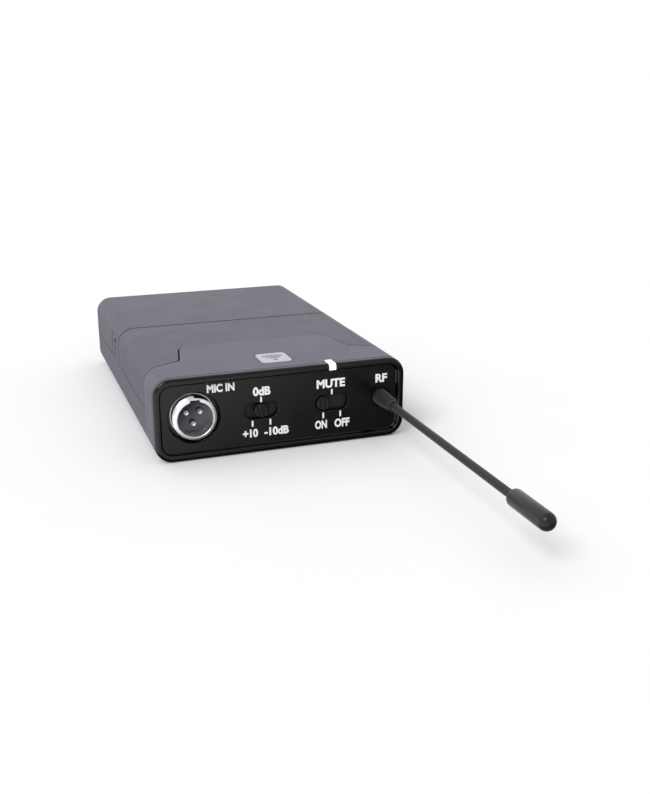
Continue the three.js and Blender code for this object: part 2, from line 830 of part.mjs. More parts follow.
function bridgePlate() {
  const x = -platePlace();
  const reach = cellOffset + plateHalf + 1;
  return box(x - contactPlate, x, cellsY - reach, cellsY + reach, cellZ - plateLow + 1, cellZ + plateHigh);
}

// contact plate at the other end, with a solder tail out through the tray wall
function endPlate(y) {
  const x = platePlace();
  const z0 = cellZ - plateLow;
  const plate = box(x, x + contactPlate, y - plateHalf, y + plateHalf, z0, cellZ + plateHigh);
  return join(plate, box(x, trayHalf + leadRadius, y - tailHalf, y + tailHalf, z0, z0 + 0.6));
}

function cellSpring(x0, x1) {
  const inset = Math.sign(x1 - x0) * springWire;
  const coil = new Coil(x0 + inset, x1 - inset, springWide, springWide * 0.6, springTurns);
  return wire(coil, springWire, 26, 6);
}

// battery leads, from the solder tails along the side of the tray to the board
function lead(y, depth, end) {
  const x = trayHalf + 0.9;
  const under = cellZ - plateLow - gap;
  const z = under - leadRadius - depth;
  const points = [
    [x, y, under - 0.2],
    [x, y - 1.6, z + 0.4],
    [x, y - 4, z],
    [x, trayFront + 1, z],
    [x - 0.5, trayFront - 1.1, z],
    [x - 2.6, trayFront - 1.9, z],
    [x - 5, trayFront - 2, z + 0.5],
    [x - 7.5 - end, doorFront + 0.6, boardTop],
    [x - 8.4 - end, doorFront - 1.6, boardTop + 1.6],
    [x - 8.6 - end, doorFront - 4.2, boardTop + gap + leadRadius],
  ];
  const curve = new THREE.CatmullRomCurve3(points.map((point) => new THREE.Vector3(...point)));
  return wire(curve, leadRadius, 26, 8);
}

// ---------------------------------------------------------------- belt clip

function clipAxisZ() {
  return clipSunk + clipKnuckle;
}

function beltClip() {
  const end = clipPivotY + clipLength;
  const z = clipAxisZ();
  const shape = roundedRect(-clipHalf, clipHalf, clipPivotY, end, clipCorner);
  let clip = alongZ(shape, clipSunk, clipSunk + clipThickness, 3);
  clip = cut(clip, box(-width, width, 0, clipPivotY + 0.1, -1, 5));
  const curl = barX(clipKnuckle, -clipHalf, clipHalf, clipPivotY, z, 20);
  clip = cut(join(clip, curl), barX(clipPin + gap, -width, width, clipPivotY, z, 12));
  return cut(clip, box(-4, 4, clipPivotY - 3, clipPivotY + 2.2, -1, 5));
}

// ---------------------------------------------------------------- fasteners

// a pan head screw standing on its head at Z = 0, shank upwards
function caseScrew() {
  const shank = height - wall - 3.2 - headSink;
  const head = barZ(screwHead, 0, screwHeadTall, 0, 0, 16);
  const reach = screwHead * 0.65;
  const along = box(-crossWidth, crossWidth, -reach, reach, -1, 0.6);
  const across = box(-reach, reach, -crossWidth, crossWidth, -1, 0.6);
  return cut(join(head, barZ(screwShank, screwHeadTall - 0.1, shank, 0, 0, 12)), along, across);
}

// a small screw hanging from its head at Z = 0
function boardScrew() {
  const head = barZ(boardScrewHead, 0, boardScrewHeadTall, 0, 0, 14);
  const reach = boardScrewHead * 0.6;
  const along = box(-crossWidth, crossWidth, -reach, reach, 0.6, 2);
  const across = box(-reach, reach, -crossWidth, crossWidth, 0.6, 2);
  const shank = barZ(boardScrewShank, wall + 0.8 - boardTop, 0.1, 0, 0, 10);
  return cut(join(head, shank), along, across);
}

// ---------------------------------------------------------------- assembly

function caseGroup() {
  const group = new THREE.Group();
  group.add(
    node('front_collar', frontCollar(), greyLight),
    node('middle_cover', middleCover(), greyCase),
    node('lower_shell', lowerShell(), greyCase),
    node('badge_plate', badge(), badgeGrey),
  );
  caseScrewPlaces().forEach(([x, y], index) => {
    const screw = node(`case_screw_${index + 1}`, caseScrew(), springSteel);
    screw.position.set(x, y, headSink);
    group.add(screw);
  });
  return group;
}

function doorGroup() {
  const group = new THREE.Group();
  const pinHalf = half - pinFromSide;
  group.add(
    node('battery_door', batteryDoor(), greyCase),
    node('door_latch_left', latch(-1), greyCase),
    node('door_latch_right', latch(1), greyCase),
    node('door_hinge_pin', barX(doorPin, -pinHalf, pinHalf, pinY, middle, 12), springSteel),
  );
  return group;
}

function panelGroup() {
  const group = new THREE.Group();
  group.add(
    node('control_panel', frontPanel(), pianoBlack),
    node('light_guide', lightGuide(), clearGuide),
    node('status_lamp', lamp(), clearGuide),
    node('lamp_card', lampCard(), boardGreen),
  );
  return group;
}

// the knob rests at knobX, the switch body sits behind the middle of the slot
function switchGroup(name, slotX, knobX) {
  const group = new THREE.Group();
  group.position.set(slotX, 0, middle);
  const knob = node(`${name}_knob`, slideKnob(), darkPlastic);
  knob.position.x = knobX - slotX;
  group.add(knob, node(`${name}_switch`, switchHousing(), tin));
  return group;
}

function socketGroup() {
  const group = new THREE.Group();
  group.position.set(socketX, 0, middle);
  group.add(
    node('socket_barrel', barrel(), nickel),
    node('socket_insert', insert(), darkPlastic),
    node('socket_housing', socketHousing(), darkPlastic),
  );
  contactPlaces().forEach((place, index) => {
    group.add(node(`socket_pin_${index + 1}`, contact(place), nickel));
  });
  return group;
}

function antennaGroup() {
  const group = new THREE.Group();
  group.position.set(antennaX, 0, middle);
  group.add(
    node('antenna_boot', antennaBoot(), blackRubber),
    node('antenna_whip', barY(rodRadius, tipStart - tipSocket + gap, rodInside, 0, 0, 16), blackRubber),
    node('antenna_tip', antennaTip(), blackRubber),
    node('antenna_contact', antennaContact(), springSteel),
  );
  return group;
}

function boardGroup() {
  const group = new THREE.Group();
  const { x, y, radius, tall } = capacitor;
  group.add(
    node('main_board', mainBoard(), boardGreen),
    node('rf_shield_can', shieldCan(), tin),
    node('audio_chip', component(chip), darkPlastic),
    node('crystal', component(crystalCan), tin),
    node('reservoir_capacitor', barZ(radius, onBoard, onBoard + tall, x, y, 18), darkPlastic),
  );
  for (const [name, place] of [['left', -boardScrewX], ['right', boardScrewX]]) {
    const screw = node(`board_screw_${name}`, boardScrew(), springSteel);
    screw.position.set(place, boardScrewY, onBoard);
    group.add(screw);
  }
  return group;
}

function batteryGroup() {
  const group = new THREE.Group();
  const front = cellsY - cellOffset;
  const back = cellsY + cellOffset;
  const cellFront = node('battery_front', cell(), cellSleeve);
  cellFront.position.set(cellShift(), front, cellZ);
  const cellBack = node('battery_back', cell(), cellSleeve);
  cellBack.position.set(-cellShift(), back, cellZ);
  cellBack.rotation.z = Math.PI;
  const reach = platePlace() - gap;
  const springFront = node('battery_spring_front', cellSpring(-reach, -reach + springLength), springSteel);
  springFront.position.set(0, front, cellZ);
  const springBack = node('battery_spring_back', cellSpring(reach, reach - springLength), springSteel);
  springBack.position.set(0, back, cellZ);
  group.add(
    node('battery_tray', batteryTray(), darkPlastic),
    cellFront,
    cellBack,
    springFront,
    springBack,
    node('contact_bridge', bridgePlate(), nickel),
    node('contact_positive', endPlate(front), nickel),
    node('contact_negative', endPlate(back), nickel),
    node('lead_positive', lead(front, 0, 0), redWire),
    node('lead_negative', lead(back, 1.6, 2), blackWire),
  );
  return group;
}

function clipGroup() {
  const group = new THREE.Group();
  const pinHalf = clipHalf + clipSide + recessWall;
  const pin = barX(clipPin, -pinHalf, pinHalf, clipPivotY, clipAxisZ(), 12);
  const spring = node('clip_spring', clipCoil(), springSteel);
  spring.position.set(0, clipPivotY, clipAxisZ());
  group.add(node('belt_clip', beltClip(), springSteel), node('clip_pin', pin, springSteel), spring);
  return group;
}

function clipCoil() {
  const radius = clipPin + gap + clipSpringWire;
  const coil = new Coil(-clipSpringHalf, clipSpringHalf, radius, radius, clipSpringTurns);
  return wire(coil, clipSpringWire, 40, 4);
}

const transmitter = new THREE.Group();
transmitter.add(
  caseGroup(),
  doorGroup(),
  panelGroup(),
  switchGroup('gain', gainX, gainX),
  switchGroup('power', powerX, powerX - detent),
  socketGroup(),
  antennaGroup(),
  boardGroup(),
  batteryGroup(),
  clipGroup(),
);
transmitter.position.y = -(caseLength + tipEnd) / 2;

export default transmitter;
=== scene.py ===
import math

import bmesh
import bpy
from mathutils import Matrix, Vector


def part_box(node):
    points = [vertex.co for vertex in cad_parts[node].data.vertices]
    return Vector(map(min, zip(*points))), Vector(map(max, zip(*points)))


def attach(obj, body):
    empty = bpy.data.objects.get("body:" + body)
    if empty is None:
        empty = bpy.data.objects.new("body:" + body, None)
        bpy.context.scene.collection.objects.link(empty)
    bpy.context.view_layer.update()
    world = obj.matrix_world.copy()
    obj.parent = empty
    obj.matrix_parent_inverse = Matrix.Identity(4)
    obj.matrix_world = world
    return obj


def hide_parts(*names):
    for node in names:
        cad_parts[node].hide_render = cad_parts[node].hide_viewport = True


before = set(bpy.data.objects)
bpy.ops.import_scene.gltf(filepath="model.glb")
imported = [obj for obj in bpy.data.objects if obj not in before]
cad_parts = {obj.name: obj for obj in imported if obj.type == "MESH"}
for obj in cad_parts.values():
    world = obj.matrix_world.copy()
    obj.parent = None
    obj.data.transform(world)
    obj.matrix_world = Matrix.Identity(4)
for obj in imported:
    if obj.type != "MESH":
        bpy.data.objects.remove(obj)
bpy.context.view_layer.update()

# A wireless bodypack transmitter: a satin grey moulded case with a gloss black control panel,
# a miniature three pin socket, two slide switches, a light guide and a whip antenna.
# Shapes are drawn in millimetres with Y = 0 at the joint between the panel and the case,
# and finish_piece() scales them to metres and moves them into the frame.

# ------------------------------------------------------------------ sizes, in millimetres

MM = 0.001
GAP = 0.3  # between neighbouring mouldings
SEAM = 0.1  # rounding of the edges along the seams

CASE_LENGTH = 95.5
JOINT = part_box("lower_shell")[1].y / MM - CASE_LENGTH
PLACE = Matrix.Translation((0, JOINT * MM, 0)) @ Matrix.Scale(MM, 4)
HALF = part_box("lower_shell")[1].x / MM
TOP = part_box("battery_door")[1].z / MM
MIDDLE = TOP / 2
CORNER = 4.5  # rounding of the case's long edges
END_ROUND = 0.8
WALL = 1.8
INNER = HALF - WALL

COLLAR = 11  # where the collar's sides end
COLLAR_ROUND = 0.55
SHOULDER_RISE = 2.5
SHOULDER_INSET = 4.3
TONGUE_ROOT = 22.6  # half widths of the tongue
TONGUE_TIP = 20
TONGUE_END = 27
TONGUE_CORNER = 4
LIP = 1.2  # depth of the locating lip, inwards from the wall
TONGUE_LIFT = 0.2  # the tongue stands proud of the cover at its back edge
TONGUE_SLOPE = 8  # where the lift starts

DOOR_FRONT = 51.6
HALF_SEAM = 0.15  # half the gap where the door and the shells meet
DOOR_SEAM = 0.3  # half the open seam across the top

RIM = 1.8
RIM_ROUND = 0.9
RIM_EDGE = 0.4
FACE = -0.3  # the panel's face
PLATE_BACK = 0.9


def span(node):
    """A node's lowest and highest corners, in millimetres from the panel joint."""
    shift = Vector((0, JOINT, 0))
    low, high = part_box(node)
    return low / MM - shift, high / MM - shift


def middle_of(node):
    low, high = span(node)
    return (low + high) / 2


RIM_FRONT = span("control_panel")[0].y
SOCKET = middle_of("socket_barrel").x
WELL = 6.5
WELL_FLOOR = 2.4
WELL_WALL = 0.6
BARREL = 5.35
BORE = 4.45
THREAD = 0.3
PITCH = 0.26
TURNS = 14
FLANGE = 6.8
CUT_START, CUT_END = 32, 90  # degrees of the barrel's outer cut-out
CUT_DEEP = 0.3
BARREL_FRONT, BARREL_BACK = span("socket_barrel")[0].y, span("socket_barrel")[1].y
INSERT_FACE = span("socket_insert")[0].y
KEY = 2.4  # width of the key groove
KEY_DEEP = 0.45
CONTACT = 0.62
CONTACT_CIRCLE = 1.95

SLOT_LENGTH = 8.8
SLOT_HEIGHT = 4.2
DETENT = 2.3
GAIN = middle_of("gain_knob").x
POWER_REST = middle_of("power_knob").x
POWER = POWER_REST + DETENT
KNOB = 1.75
SHUTTER_FRONT = 1.2
SHUTTER = 0.8
STEM = 4.4

GUIDE = middle_of("light_guide").x
GUIDE_HALF = 0.9
GUIDE_LOW = 1.7
GUIDE_BACK = 2.5
GUIDE_THICK = 1.5
GUIDE_DROP = 5.4
GUIDE_END = 8.5  # the inner leg reaches back to the lamp
ANTENNA = middle_of("antenna_whip").x
TIP_END, TIP_MOUTH = span("antenna_tip")[0].y, span("antenna_tip")[1].y
TIP_RADIUS = 1.95
BOOT_END = span("antenna_boot")[0].y
ROD = 0.95
BOOT = 2.05
BOOT_FLANGE = 2.9

PIN_Y = middle_of("door_hinge_pin").y
KNUCKLE = 1.3
RELIEF = 1.6
KNUCKLE_SPAN = (29, 20, 4)
LATCH_LENGTH = 10.8
LATCH_SLIT = 0.8
LATCH_TALL = 7.2
HOOK_FRONT = DOOR_FRONT + 2.35
HOOK_BACK = HOOK_FRONT + 5

CLIP_HALF = span("belt_clip")[1].x
CLIP_PIVOT = middle_of("clip_pin").y
CLIP_AXIS = middle_of("clip_pin").z
CLIP_END = span("belt_clip")[1].y
CLIP_KNUCKLE = 1.1
CLIP_SUNK = CLIP_AXIS - CLIP_KNUCKLE
CLIP_THICK = 0.8
RECESS_HALF = CLIP_HALF + 1.5
RECESS = 2.4
RECESS_DEEP = 3

SCREW_X = middle_of("case_screw_2").x
SCREW_FRONT = middle_of("case_screw_1").y
SCREW_BACK = middle_of("case_screw_3").y
SCREW_HEAD = 2
SCREW_SHANK = 1
SCREW_SINK = 0.7


# ------------------------------------------------------------------ nodes and colours


def colour(code):
    """An sRGB hex colour as linear RGBA."""
    values = [int(code[i : i + 2], 16) / 255 for i in (1, 3, 5)]
    linear = [v / 12.92 if v <= 0.04045 else ((v + 0.055) / 1.055) ** 2.4 for v in values]
    return (*linear, 1)


def add(tree, kind, inputs=(), **settings):
    """Adds a node. Inputs are values, or the sockets that feed them."""
    node = tree.nodes.new(kind)
    for key, value in settings.items():
        setattr(node, key, value)
    for key, value in dict(inputs).items():
        if isinstance(value, bpy.types.NodeSocket):
            tree.links.new(value, node.inputs[key])
        else:
            node.inputs[key].default_value = value
    return node


# ------------------------------------------------------------------ materials


def blank(name, **constants):
    """A material and its shader, with the constant values on the shader's own sockets."""
    material = bpy.data.materials.new(name)
    material.use_nodes = True
    tree = material.node_tree
    shader = tree.nodes["Principled BSDF"]
    for key, value in constants.items():
        shader.inputs[key.replace("_", " ")].default_value = value
    return material, tree, shader


def grain(tree, size, stretch=(1, 1, 1), detail=3.0):
    """Noise with features of about size millimetres on the object's own coordinates."""
    place = add(tree, "ShaderNodeTexCoord")
    scaled = add(tree, "ShaderNodeMapping", {"Vector": place.outputs["Object"], "Scale": stretch})
    inputs = {"Vector": scaled.outputs[0], "Scale": 1 / (size * MM), "Detail": detail}
    return add(tree, "ShaderNodeTexNoise", inputs).outputs["Fac"]


def coat(tree, shader, shades, rough, pattern, rough_pattern=None, relief=None, reach=(0.3, 0.7)):
    """Patterns set a finish: they mix two shades, spread the roughness and raise the surface.
    A relief is its pattern, its depth in millimetres and its strength."""
    if shades:
        ramp = add(tree, "ShaderNodeValToRGB", {"Fac": pattern})
        for stop, position, shade in zip(ramp.color_ramp.elements, reach, shades):
            stop.position = position
            stop.color = colour(shade)
        tree.links.new(ramp.outputs["Color"], shader.inputs["Base Color"])
    ends = {"To Min": rough[0], "To Max": rough[1]}
    spread = add(tree, "ShaderNodeMapRange", {"Value": rough_pattern or pattern, **ends})
    tree.links.new(spread.outputs["Result"], shader.inputs["Roughness"])
    if relief:
        height, depth, strength = relief
        inputs = {"Height": height, "Distance": depth * MM, "Strength": strength}
        bump = add(tree, "ShaderNodeBump", inputs)
        tree.links.new(bump.outputs[0], shader.inputs["Normal"])


def lacquered_abs(name, dark, light):
    """Metallic grey lacquer on moulded ABS: satin, with a faint flake and the slight
    unevenness of a sprayed coat."""
    material, tree, shader = blank(name, Metallic=0.1, IOR=1.5, Specular_IOR_Level=0.25)
    # real flake is 0.05 mm, drawn at 0.35 mm so that it shows
    flake = grain(tree, 0.35, detail=1)
    cloud = grain(tree, 9)
    peel = grain(tree, 0.8, detail=2)
    coat(tree, shader, (dark, light), (0.38, 0.52), flake, cloud, (peel, 0.006, 0.5))
    return material


def gloss_abs():
    """Piano black ABS: deep black and mirror smooth, with a breath of handling haze."""
    material, tree, shader = blank("black_gloss_abs", IOR=1.5, Specular_IOR_Level=0.4)
    haze = grain(tree, 5)
    coat(tree, shader, ("#020205", "#05050a"), (0.16, 0.24), haze)
    return material


def spark_abs(name, dark, light):
    """Spark-eroded ABS: a fine matt grain from the mould."""
    material, tree, shader = blank(name, IOR=1.5, Specular_IOR_Level=0.4)
    # real grain is 0.1 mm, drawn at 0.22 mm so that it shows
    pits = grain(tree, 0.22)
    coat(tree, shader, (dark, light), (0.42, 0.6), pits, relief=(pits, 0.02, 0.6))
    return material


def turned_metal(name, base, bright, rough, pitch=0.18, centre=(0, 0)):
    """Turned and plated metal: mirror bright with fine rings round the Y axis at centre."""
    material, tree, shader = blank(name, Metallic=1)
    place = add(tree, "ShaderNodeTexCoord")
    x, z = centre
    shifted = add(
        tree,
        "ShaderNodeMapping",
        {"Vector": place.outputs["Object"], "Location": (-x * MM, 0, -z * MM)},
    )
    # the wave node makes one ring every 0.31 units at a scale of one
    rings = add(
        tree,
        "ShaderNodeTexWave",
        {"Vector": shifted.outputs[0], "Scale": 0.31 / (pitch * MM), "Distortion": 1.5, "Detail": 2},
        wave_type="RINGS",
        rings_direction="Y",
    ).outputs["Fac"]
    coat(tree, shader, (base, bright), rough, rings, relief=(rings, 0.004, 0.4), reach=(0.1, 0.9))
    return material


def sheet_metal(name, dark, light, rough, stretch=(1, 12, 12)):
    """Rolled sheet or drawn wire: fine lines along the way it was rolled."""
    material, tree, shader = blank(name, Metallic=1)
    # real rolling lines are 0.05 mm wide, drawn at 0.12 mm so that they show
    lines = grain(tree, 1.5, stretch)
    coat(tree, shader, (dark, light), rough, lines, relief=(lines, 0.006, 0.5))
    return material


def moulded_rubber(name, dark, light, rough=(0.5, 0.68)):
    """Moulded thermoplastic rubber: matt, slightly cloudy, with a velvet edge."""
    material, tree, shader = blank(
        name, IOR=1.5, Specular_IOR_Level=0.35, Sheen_Weight=0.15, Sheen_Roughness=0.5
    )
    cloud = grain(tree, 1.2)
    pores = grain(tree, 0.25, detail=1)
    coat(tree, shader, (dark, light), rough, cloud, relief=(pores, 0.01, 0.4))
    return material


def screen_ink(name, dark, light):
    """Screen-printed ink: opaque and matt, a little uneven in its thickness."""
    material, tree, shader = blank(name, IOR=1.45, Specular_IOR_Level=0.3)
    mesh_marks = grain(tree, 0.2, detail=1)
    coat(tree, shader, (dark, light), (0.45, 0.6), mesh_marks)
    return material


def lit_acrylic():
    """Frosted acrylic light guide with its lamp on: milky white and softly glowing."""
    material, tree, shader = blank(
        "frosted_acrylic", IOR=1.49, Emission_Strength=0.5, Emission_Color=colour("#ffffff")
    )
    frost = grain(tree, 0.5)
    coat(tree, shader, ("#e9ecee", "#ffffff"), (0.2, 0.35), frost)
    return material


def solder_mask():
    """Green solder mask over copper: the tracks show as lighter lines."""
    material, tree, shader = blank("green_solder_mask", IOR=1.5, Coat_Weight=0.3)
    place = add(tree, "ShaderNodeTexCoord")
    tracks = add(
        tree,
        "ShaderNodeTexBrick",
        {
            "Vector": place.outputs["Object"],
            "Scale": 1 / (6 * MM),
            "Mortar Size": 0.05,
            "Mortar Smooth": 0.2,
            "Color1": colour("#17492c"),
            "Color2": colour("#1b5233"),
            "Mortar": colour("#2f7d4e"),
        },
    )
    tree.links.new(tracks.outputs["Color"], shader.inputs["Base Color"])
    lines = tracks.outputs["Fac"]
    coat(tree, shader, None, (0.3, 0.4), lines, relief=(lines, 0.03, 0.5))
    return material


def printed_sleeve():
    """Shrunk PVC sleeve on a cell: smooth, dark and a little cloudy under its clear gloss."""
    material, tree, shader = blank("printed_pvc_sleeve", IOR=1.53, Coat_Weight=0.4)
    cloud = grain(tree, 2.5)
    coat(tree, shader, ("#23262b", "#2e3238"), (0.22, 0.34), cloud)
    return material


CASE = lacquered_abs("lacquered_abs_grey", "#4f4e5b", "#565562")
COLLAR_GREY = lacquered_abs("lacquered_abs_light_grey", "#595866", "#61606e")
GLOSS = gloss_abs()
DARK = spark_abs("spark_eroded_abs", "#131315", "#1e1e21")
# black ABS for the battery tray; the same material is painted shade on the block in the barrel's cut-out
BLACK_AND_SHADE = spark_abs("spark_eroded_abs_black_and_painted_shade", "#0a0a0b", "#121214")
NICKEL = turned_metal(
    "turned_nickel_plate", "#ececf0", "#fcfcfe", (0.26, 0.38), centre=(SOCKET, MIDDLE)
)
CONTACT_NICKEL = turned_metal("plated_contact", "#dadade", "#f6f6f8", (0.2, 0.3))
INSERT = turned_metal(
    "pps_insert", "#323236", "#68686e", (0.28, 0.42), pitch=0.35, centre=(SOCKET, MIDDLE)
)
RUBBER = moulded_rubber("thermoplastic_rubber", "#101013", "#18181c")
TIP_RUBBER = moulded_rubber("polished_rubber", "#0b0b0e", "#121216", (0.28, 0.4))
INK = screen_ink("screen_ink_white", "#f8f8f8", "#ffffff")
BADGE = lacquered_abs("lacquered_abs_pale", "#b9b9c0", "#c6c6cd")
BADGE_INK = screen_ink("screen_ink_grey", "#77777e", "#82828a")
GUIDE_LIGHT = lit_acrylic()
STEEL = sheet_metal("zinc_plated_steel", "#8e9094", "#b4b6ba", (0.25, 0.4))
SPRING_STEEL = sheet_metal("blued_spring_steel", "#3a3b40", "#54555b", (0.3, 0.42))
TIN = sheet_metal("tin_plate", "#a9abae", "#c9cbce", (0.28, 0.42), stretch=(6, 1, 6))
BOARD = solder_mask()
SLEEVE = printed_sleeve()
RED = moulded_rubber("red_pvc", "#8e1717", "#a82020")
BLACK_WIRE = moulded_rubber("black_pvc", "#141416", "#1e1e20")


# ------------------------------------------------------------------ meshes, in millimetres


def mesh_object(name, points, faces):
    """A closed mesh with its faces pointing out."""
    mesh = bpy.data.meshes.new(name)
    mesh.from_pydata([tuple(p) for p in points], [], faces)
    work = bmesh.new()
    work.from_mesh(mesh)
    bmesh.ops.remove_doubles(work, verts=work.verts, dist=1e-5)
    bmesh.ops.recalc_face_normals(work, faces=work.faces)
    work.to_mesh(mesh)
    work.free()
    thing = bpy.data.objects.new(name, mesh)
    bpy.context.scene.collection.objects.link(thing)
    return thing


def loft(loops, name="loft"):
    """Joins closed loops of equally many points, with a flat cap at both ends."""
    count = len(loops[0])
    points = [p for loop in loops for p in loop]
    faces = []
    for row in range(len(loops) - 1):
        for i in range(count):
            j = (i + 1) % count
            a, b = row * count, (row + 1) * count
            faces.append((a + i, a + j, b + j, b + i))
    faces.append(tuple(range(count)))
    last = (len(loops) - 1) * count
    faces.append(tuple(range(last, last + count)))
    return mesh_object(name, points, faces)


def arc(x, z, radius, start, end, steps):
    """Points on an arc, in degrees."""
    angles = [math.radians(start + (end - start) * i / steps) for i in range(steps + 1)]
    return [(x + radius * math.cos(a), z + radius * math.sin(a)) for a in angles]


def rounded_rect(x0, x1, z0, z1, radius, steps=12):
    r = max(radius, 0.05)
    return [
        *arc(x1 - r, z0 + r, r, -90, 0, steps),
        *arc(x1 - r, z1 - r, r, 0, 90, steps),
        *arc(x0 + r, z1 - r, r, 90, 180, steps),
        *arc(x0 + r, z0 + r, r, 180, 270, steps),
    ]


def along_y(outline, y0, y1):
    return loft([[(x, y, z) for x, z in outline] for y in (y0, y1)])


def along_z(outline, z0, z1):
    return loft([[(x, y, z) for x, y in outline] for z in (z0, z1)])


def along_x(outline, x0, x1):
    return loft([[(x, y, z) for y, z in outline] for x in (x0, x1)])


def block(x0, x1, y0, y1, z0, z1):
    return along_z([(x0, y0), (x1, y0), (x1, y1), (x0, y1)], z0, z1)


def disc(radius, y0, y1, x, z, steps=64):
    return along_y(arc(x, z, radius, 0, 360, steps)[:-1], y0, y1)


def peg(radius, z0, z1, x, y, steps=32):
    return along_z(arc(x, y, radius, 0, 360, steps)[:-1], z0, z1)


def rod(radius, x0, x1, y, z, steps=32):
    return along_x(arc(y, z, radius, 0, 360, steps)[:-1], x0, x1)


def case_loop(y, inset=0.0, steps=14):
    side = HALF - inset
    outline = rounded_rect(-side, side, inset, TOP - inset, CORNER - inset, steps)
    return [(x, y, z) for x, z in outline]


def section(y0, y1, inset=0.0):
    return loft([case_loop(y0, inset), case_loop(y1, inset)])


def rounding(radius, y, towards, steps=5):
    """Inset and Y for loops that round a section's end, from the side to the end face."""
    pairs = []
    for i in range(steps + 1):
        angle = math.pi / 2 * i / steps
        pairs.append((radius * (1 - math.cos(angle)), y + towards * radius * (math.sin(angle) - 1)))
    return pairs


def end_section(y0, y1):
    """The case section with its back edge rounded."""
    loops = [case_loop(y0)]
    loops += [case_loop(y, inset) for inset, y in rounding(END_ROUND, y1, 1)]
    return loft(loops)


def front_section(y0, y1, radius):
    """The case section with its front edge rounded."""
    loops = [case_loop(y, inset) for inset, y in reversed(rounding(radius, y0, -1))]
    return loft([*loops, case_loop(y1)])


def turned(profile, x=0.0, z=0.0, steps=64):
    """A closed profile of radius and Y, turned about the Y axis at x and z."""
    points, faces = [], []
    for i in range(steps):
        a = 2 * math.pi * i / steps
        points += [(x + r * math.cos(a), y, z + r * math.sin(a)) for r, y in profile]
    count = len(profile)
    for i in range(steps):
        a, b = i * count, (i + 1) % steps * count
        for j in range(count):
            k = (j + 1) % count
            corners = [a + j, a + k, b + k, b + j]
            if profile[j][0] < 1e-6:
                corners.remove(b + j)
            if profile[k][0] < 1e-6:
                corners.remove(b + k)
            if len(corners) > 2:
                faces.append(tuple(corners))
    return mesh_object("turned", points, faces)


def combined(base, operation, *tools):
    """Cuts, joins or keeps what is common, and removes the tools."""
    for tool in tools:
        step = base.modifiers.new(operation, "BOOLEAN")
        step.operation = operation
        step.solver = "MANIFOLD"
        step.object = tool
    bake(base)
    for tool in tools:
        bpy.data.objects.remove(tool)
    return base


def bake(thing):
    """Replaces an object's mesh with the mesh that its modifiers make."""
    graph = bpy.context.evaluated_depsgraph_get()
    made = bpy.data.meshes.new_from_object(thing.evaluated_get(graph))
    thing.modifiers.clear()
    thing.data = made
    return thing


def cut(base, *tools):
    return combined(base, "DIFFERENCE", *tools)


def join(base, *tools):
    return combined(base, "UNION", *tools)


def common(base, *tools):
    return combined(base, "INTERSECT", *tools)


def together(*things):
    """Several separate solids as one object."""
    first, *rest = things
    work = bmesh.new()
    for thing in things:
        work.from_mesh(thing.data)
    work.to_mesh(first.data)
    work.free()
    for thing in rest:
        bpy.data.objects.remove(thing)
    return first


def soften(thing, width, segments=3, angle=32):
    """Rounds the sharp edges and leaves broad faces flat-shaded by weighted normals."""
    thing.data.shade_smooth()
    bevel = thing.modifiers.new("edges", "BEVEL")
    bevel.width = width
    bevel.segments = segments
    bevel.limit_method = "ANGLE"
    bevel.angle_limit = math.radians(angle)
    bevel.use_clamp_overlap = False
    bevel.miter_outer = "MITER_SHARP"
    weighted = thing.modifiers.new("shading", "WEIGHTED_NORMAL")
    weighted.weight = 100
    weighted.keep_sharp = True
    return bake(thing)


def smooth(thing, angle=35):
    """Smooth shading with the sharp edges kept."""
    thing.data.shade_smooth()
    thing.data.set_sharp_from_angle(angle=math.radians(angle))
    return thing


def finish_piece(thing, name, material, body, *nodes):
    """Names a piece, puts it in the frame in metres and gives it its finish and body."""
    thing.name = name
    thing.data.name = name
    thing.data.transform(PLACE)
    thing.data.materials.clear()
    thing.data.materials.append(material)
    for face in thing.data.polygons:
        face.material_index = 0
    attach(thing, body)
    if nodes:
        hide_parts(*nodes)
    return thing


# ------------------------------------------------------------------ repeats by Geometry Nodes


def tree_with(name, **inputs):
    """A geometry tree with named inputs, and its in and out nodes."""
    tree = bpy.data.node_groups.new(name, "GeometryNodeTree")
    sides = {"Geometry": ("NodeSocketGeometry", None)}
    kinds = {int: "NodeSocketInt", float: "NodeSocketFloat"}
    for key, value in inputs.items():
        kind = kinds.get(type(value), "NodeSocketObject")
        sides[key] = (kind, value)
    for key, (kind, _) in sides.items():
        tree.interface.new_socket(key, in_out="INPUT", socket_type=kind)
    tree.interface.new_socket("Geometry", in_out="OUTPUT", socket_type="NodeSocketGeometry")
    return tree, add(tree, "NodeGroupInput"), add(tree, "NodeGroupOutput")


def grown(name, tree, material, **values):
    """Runs a tree on an empty mesh with its inputs set, and keeps the plain mesh it makes."""
    thing = bpy.data.objects.new(name, bpy.data.meshes.new(name))
    bpy.context.scene.collection.objects.link(thing)
    thing.data.materials.append(material)
    step = thing.modifiers.new(name, "NODES")
    step.node_group = tree
    sockets = {s.name: s.identifier for s in tree.interface.items_tree if s.in_out == "INPUT"}
    for key, value in values.items():
        step[sockets[key.replace("_", " ")]] = value
    return bake(thing)


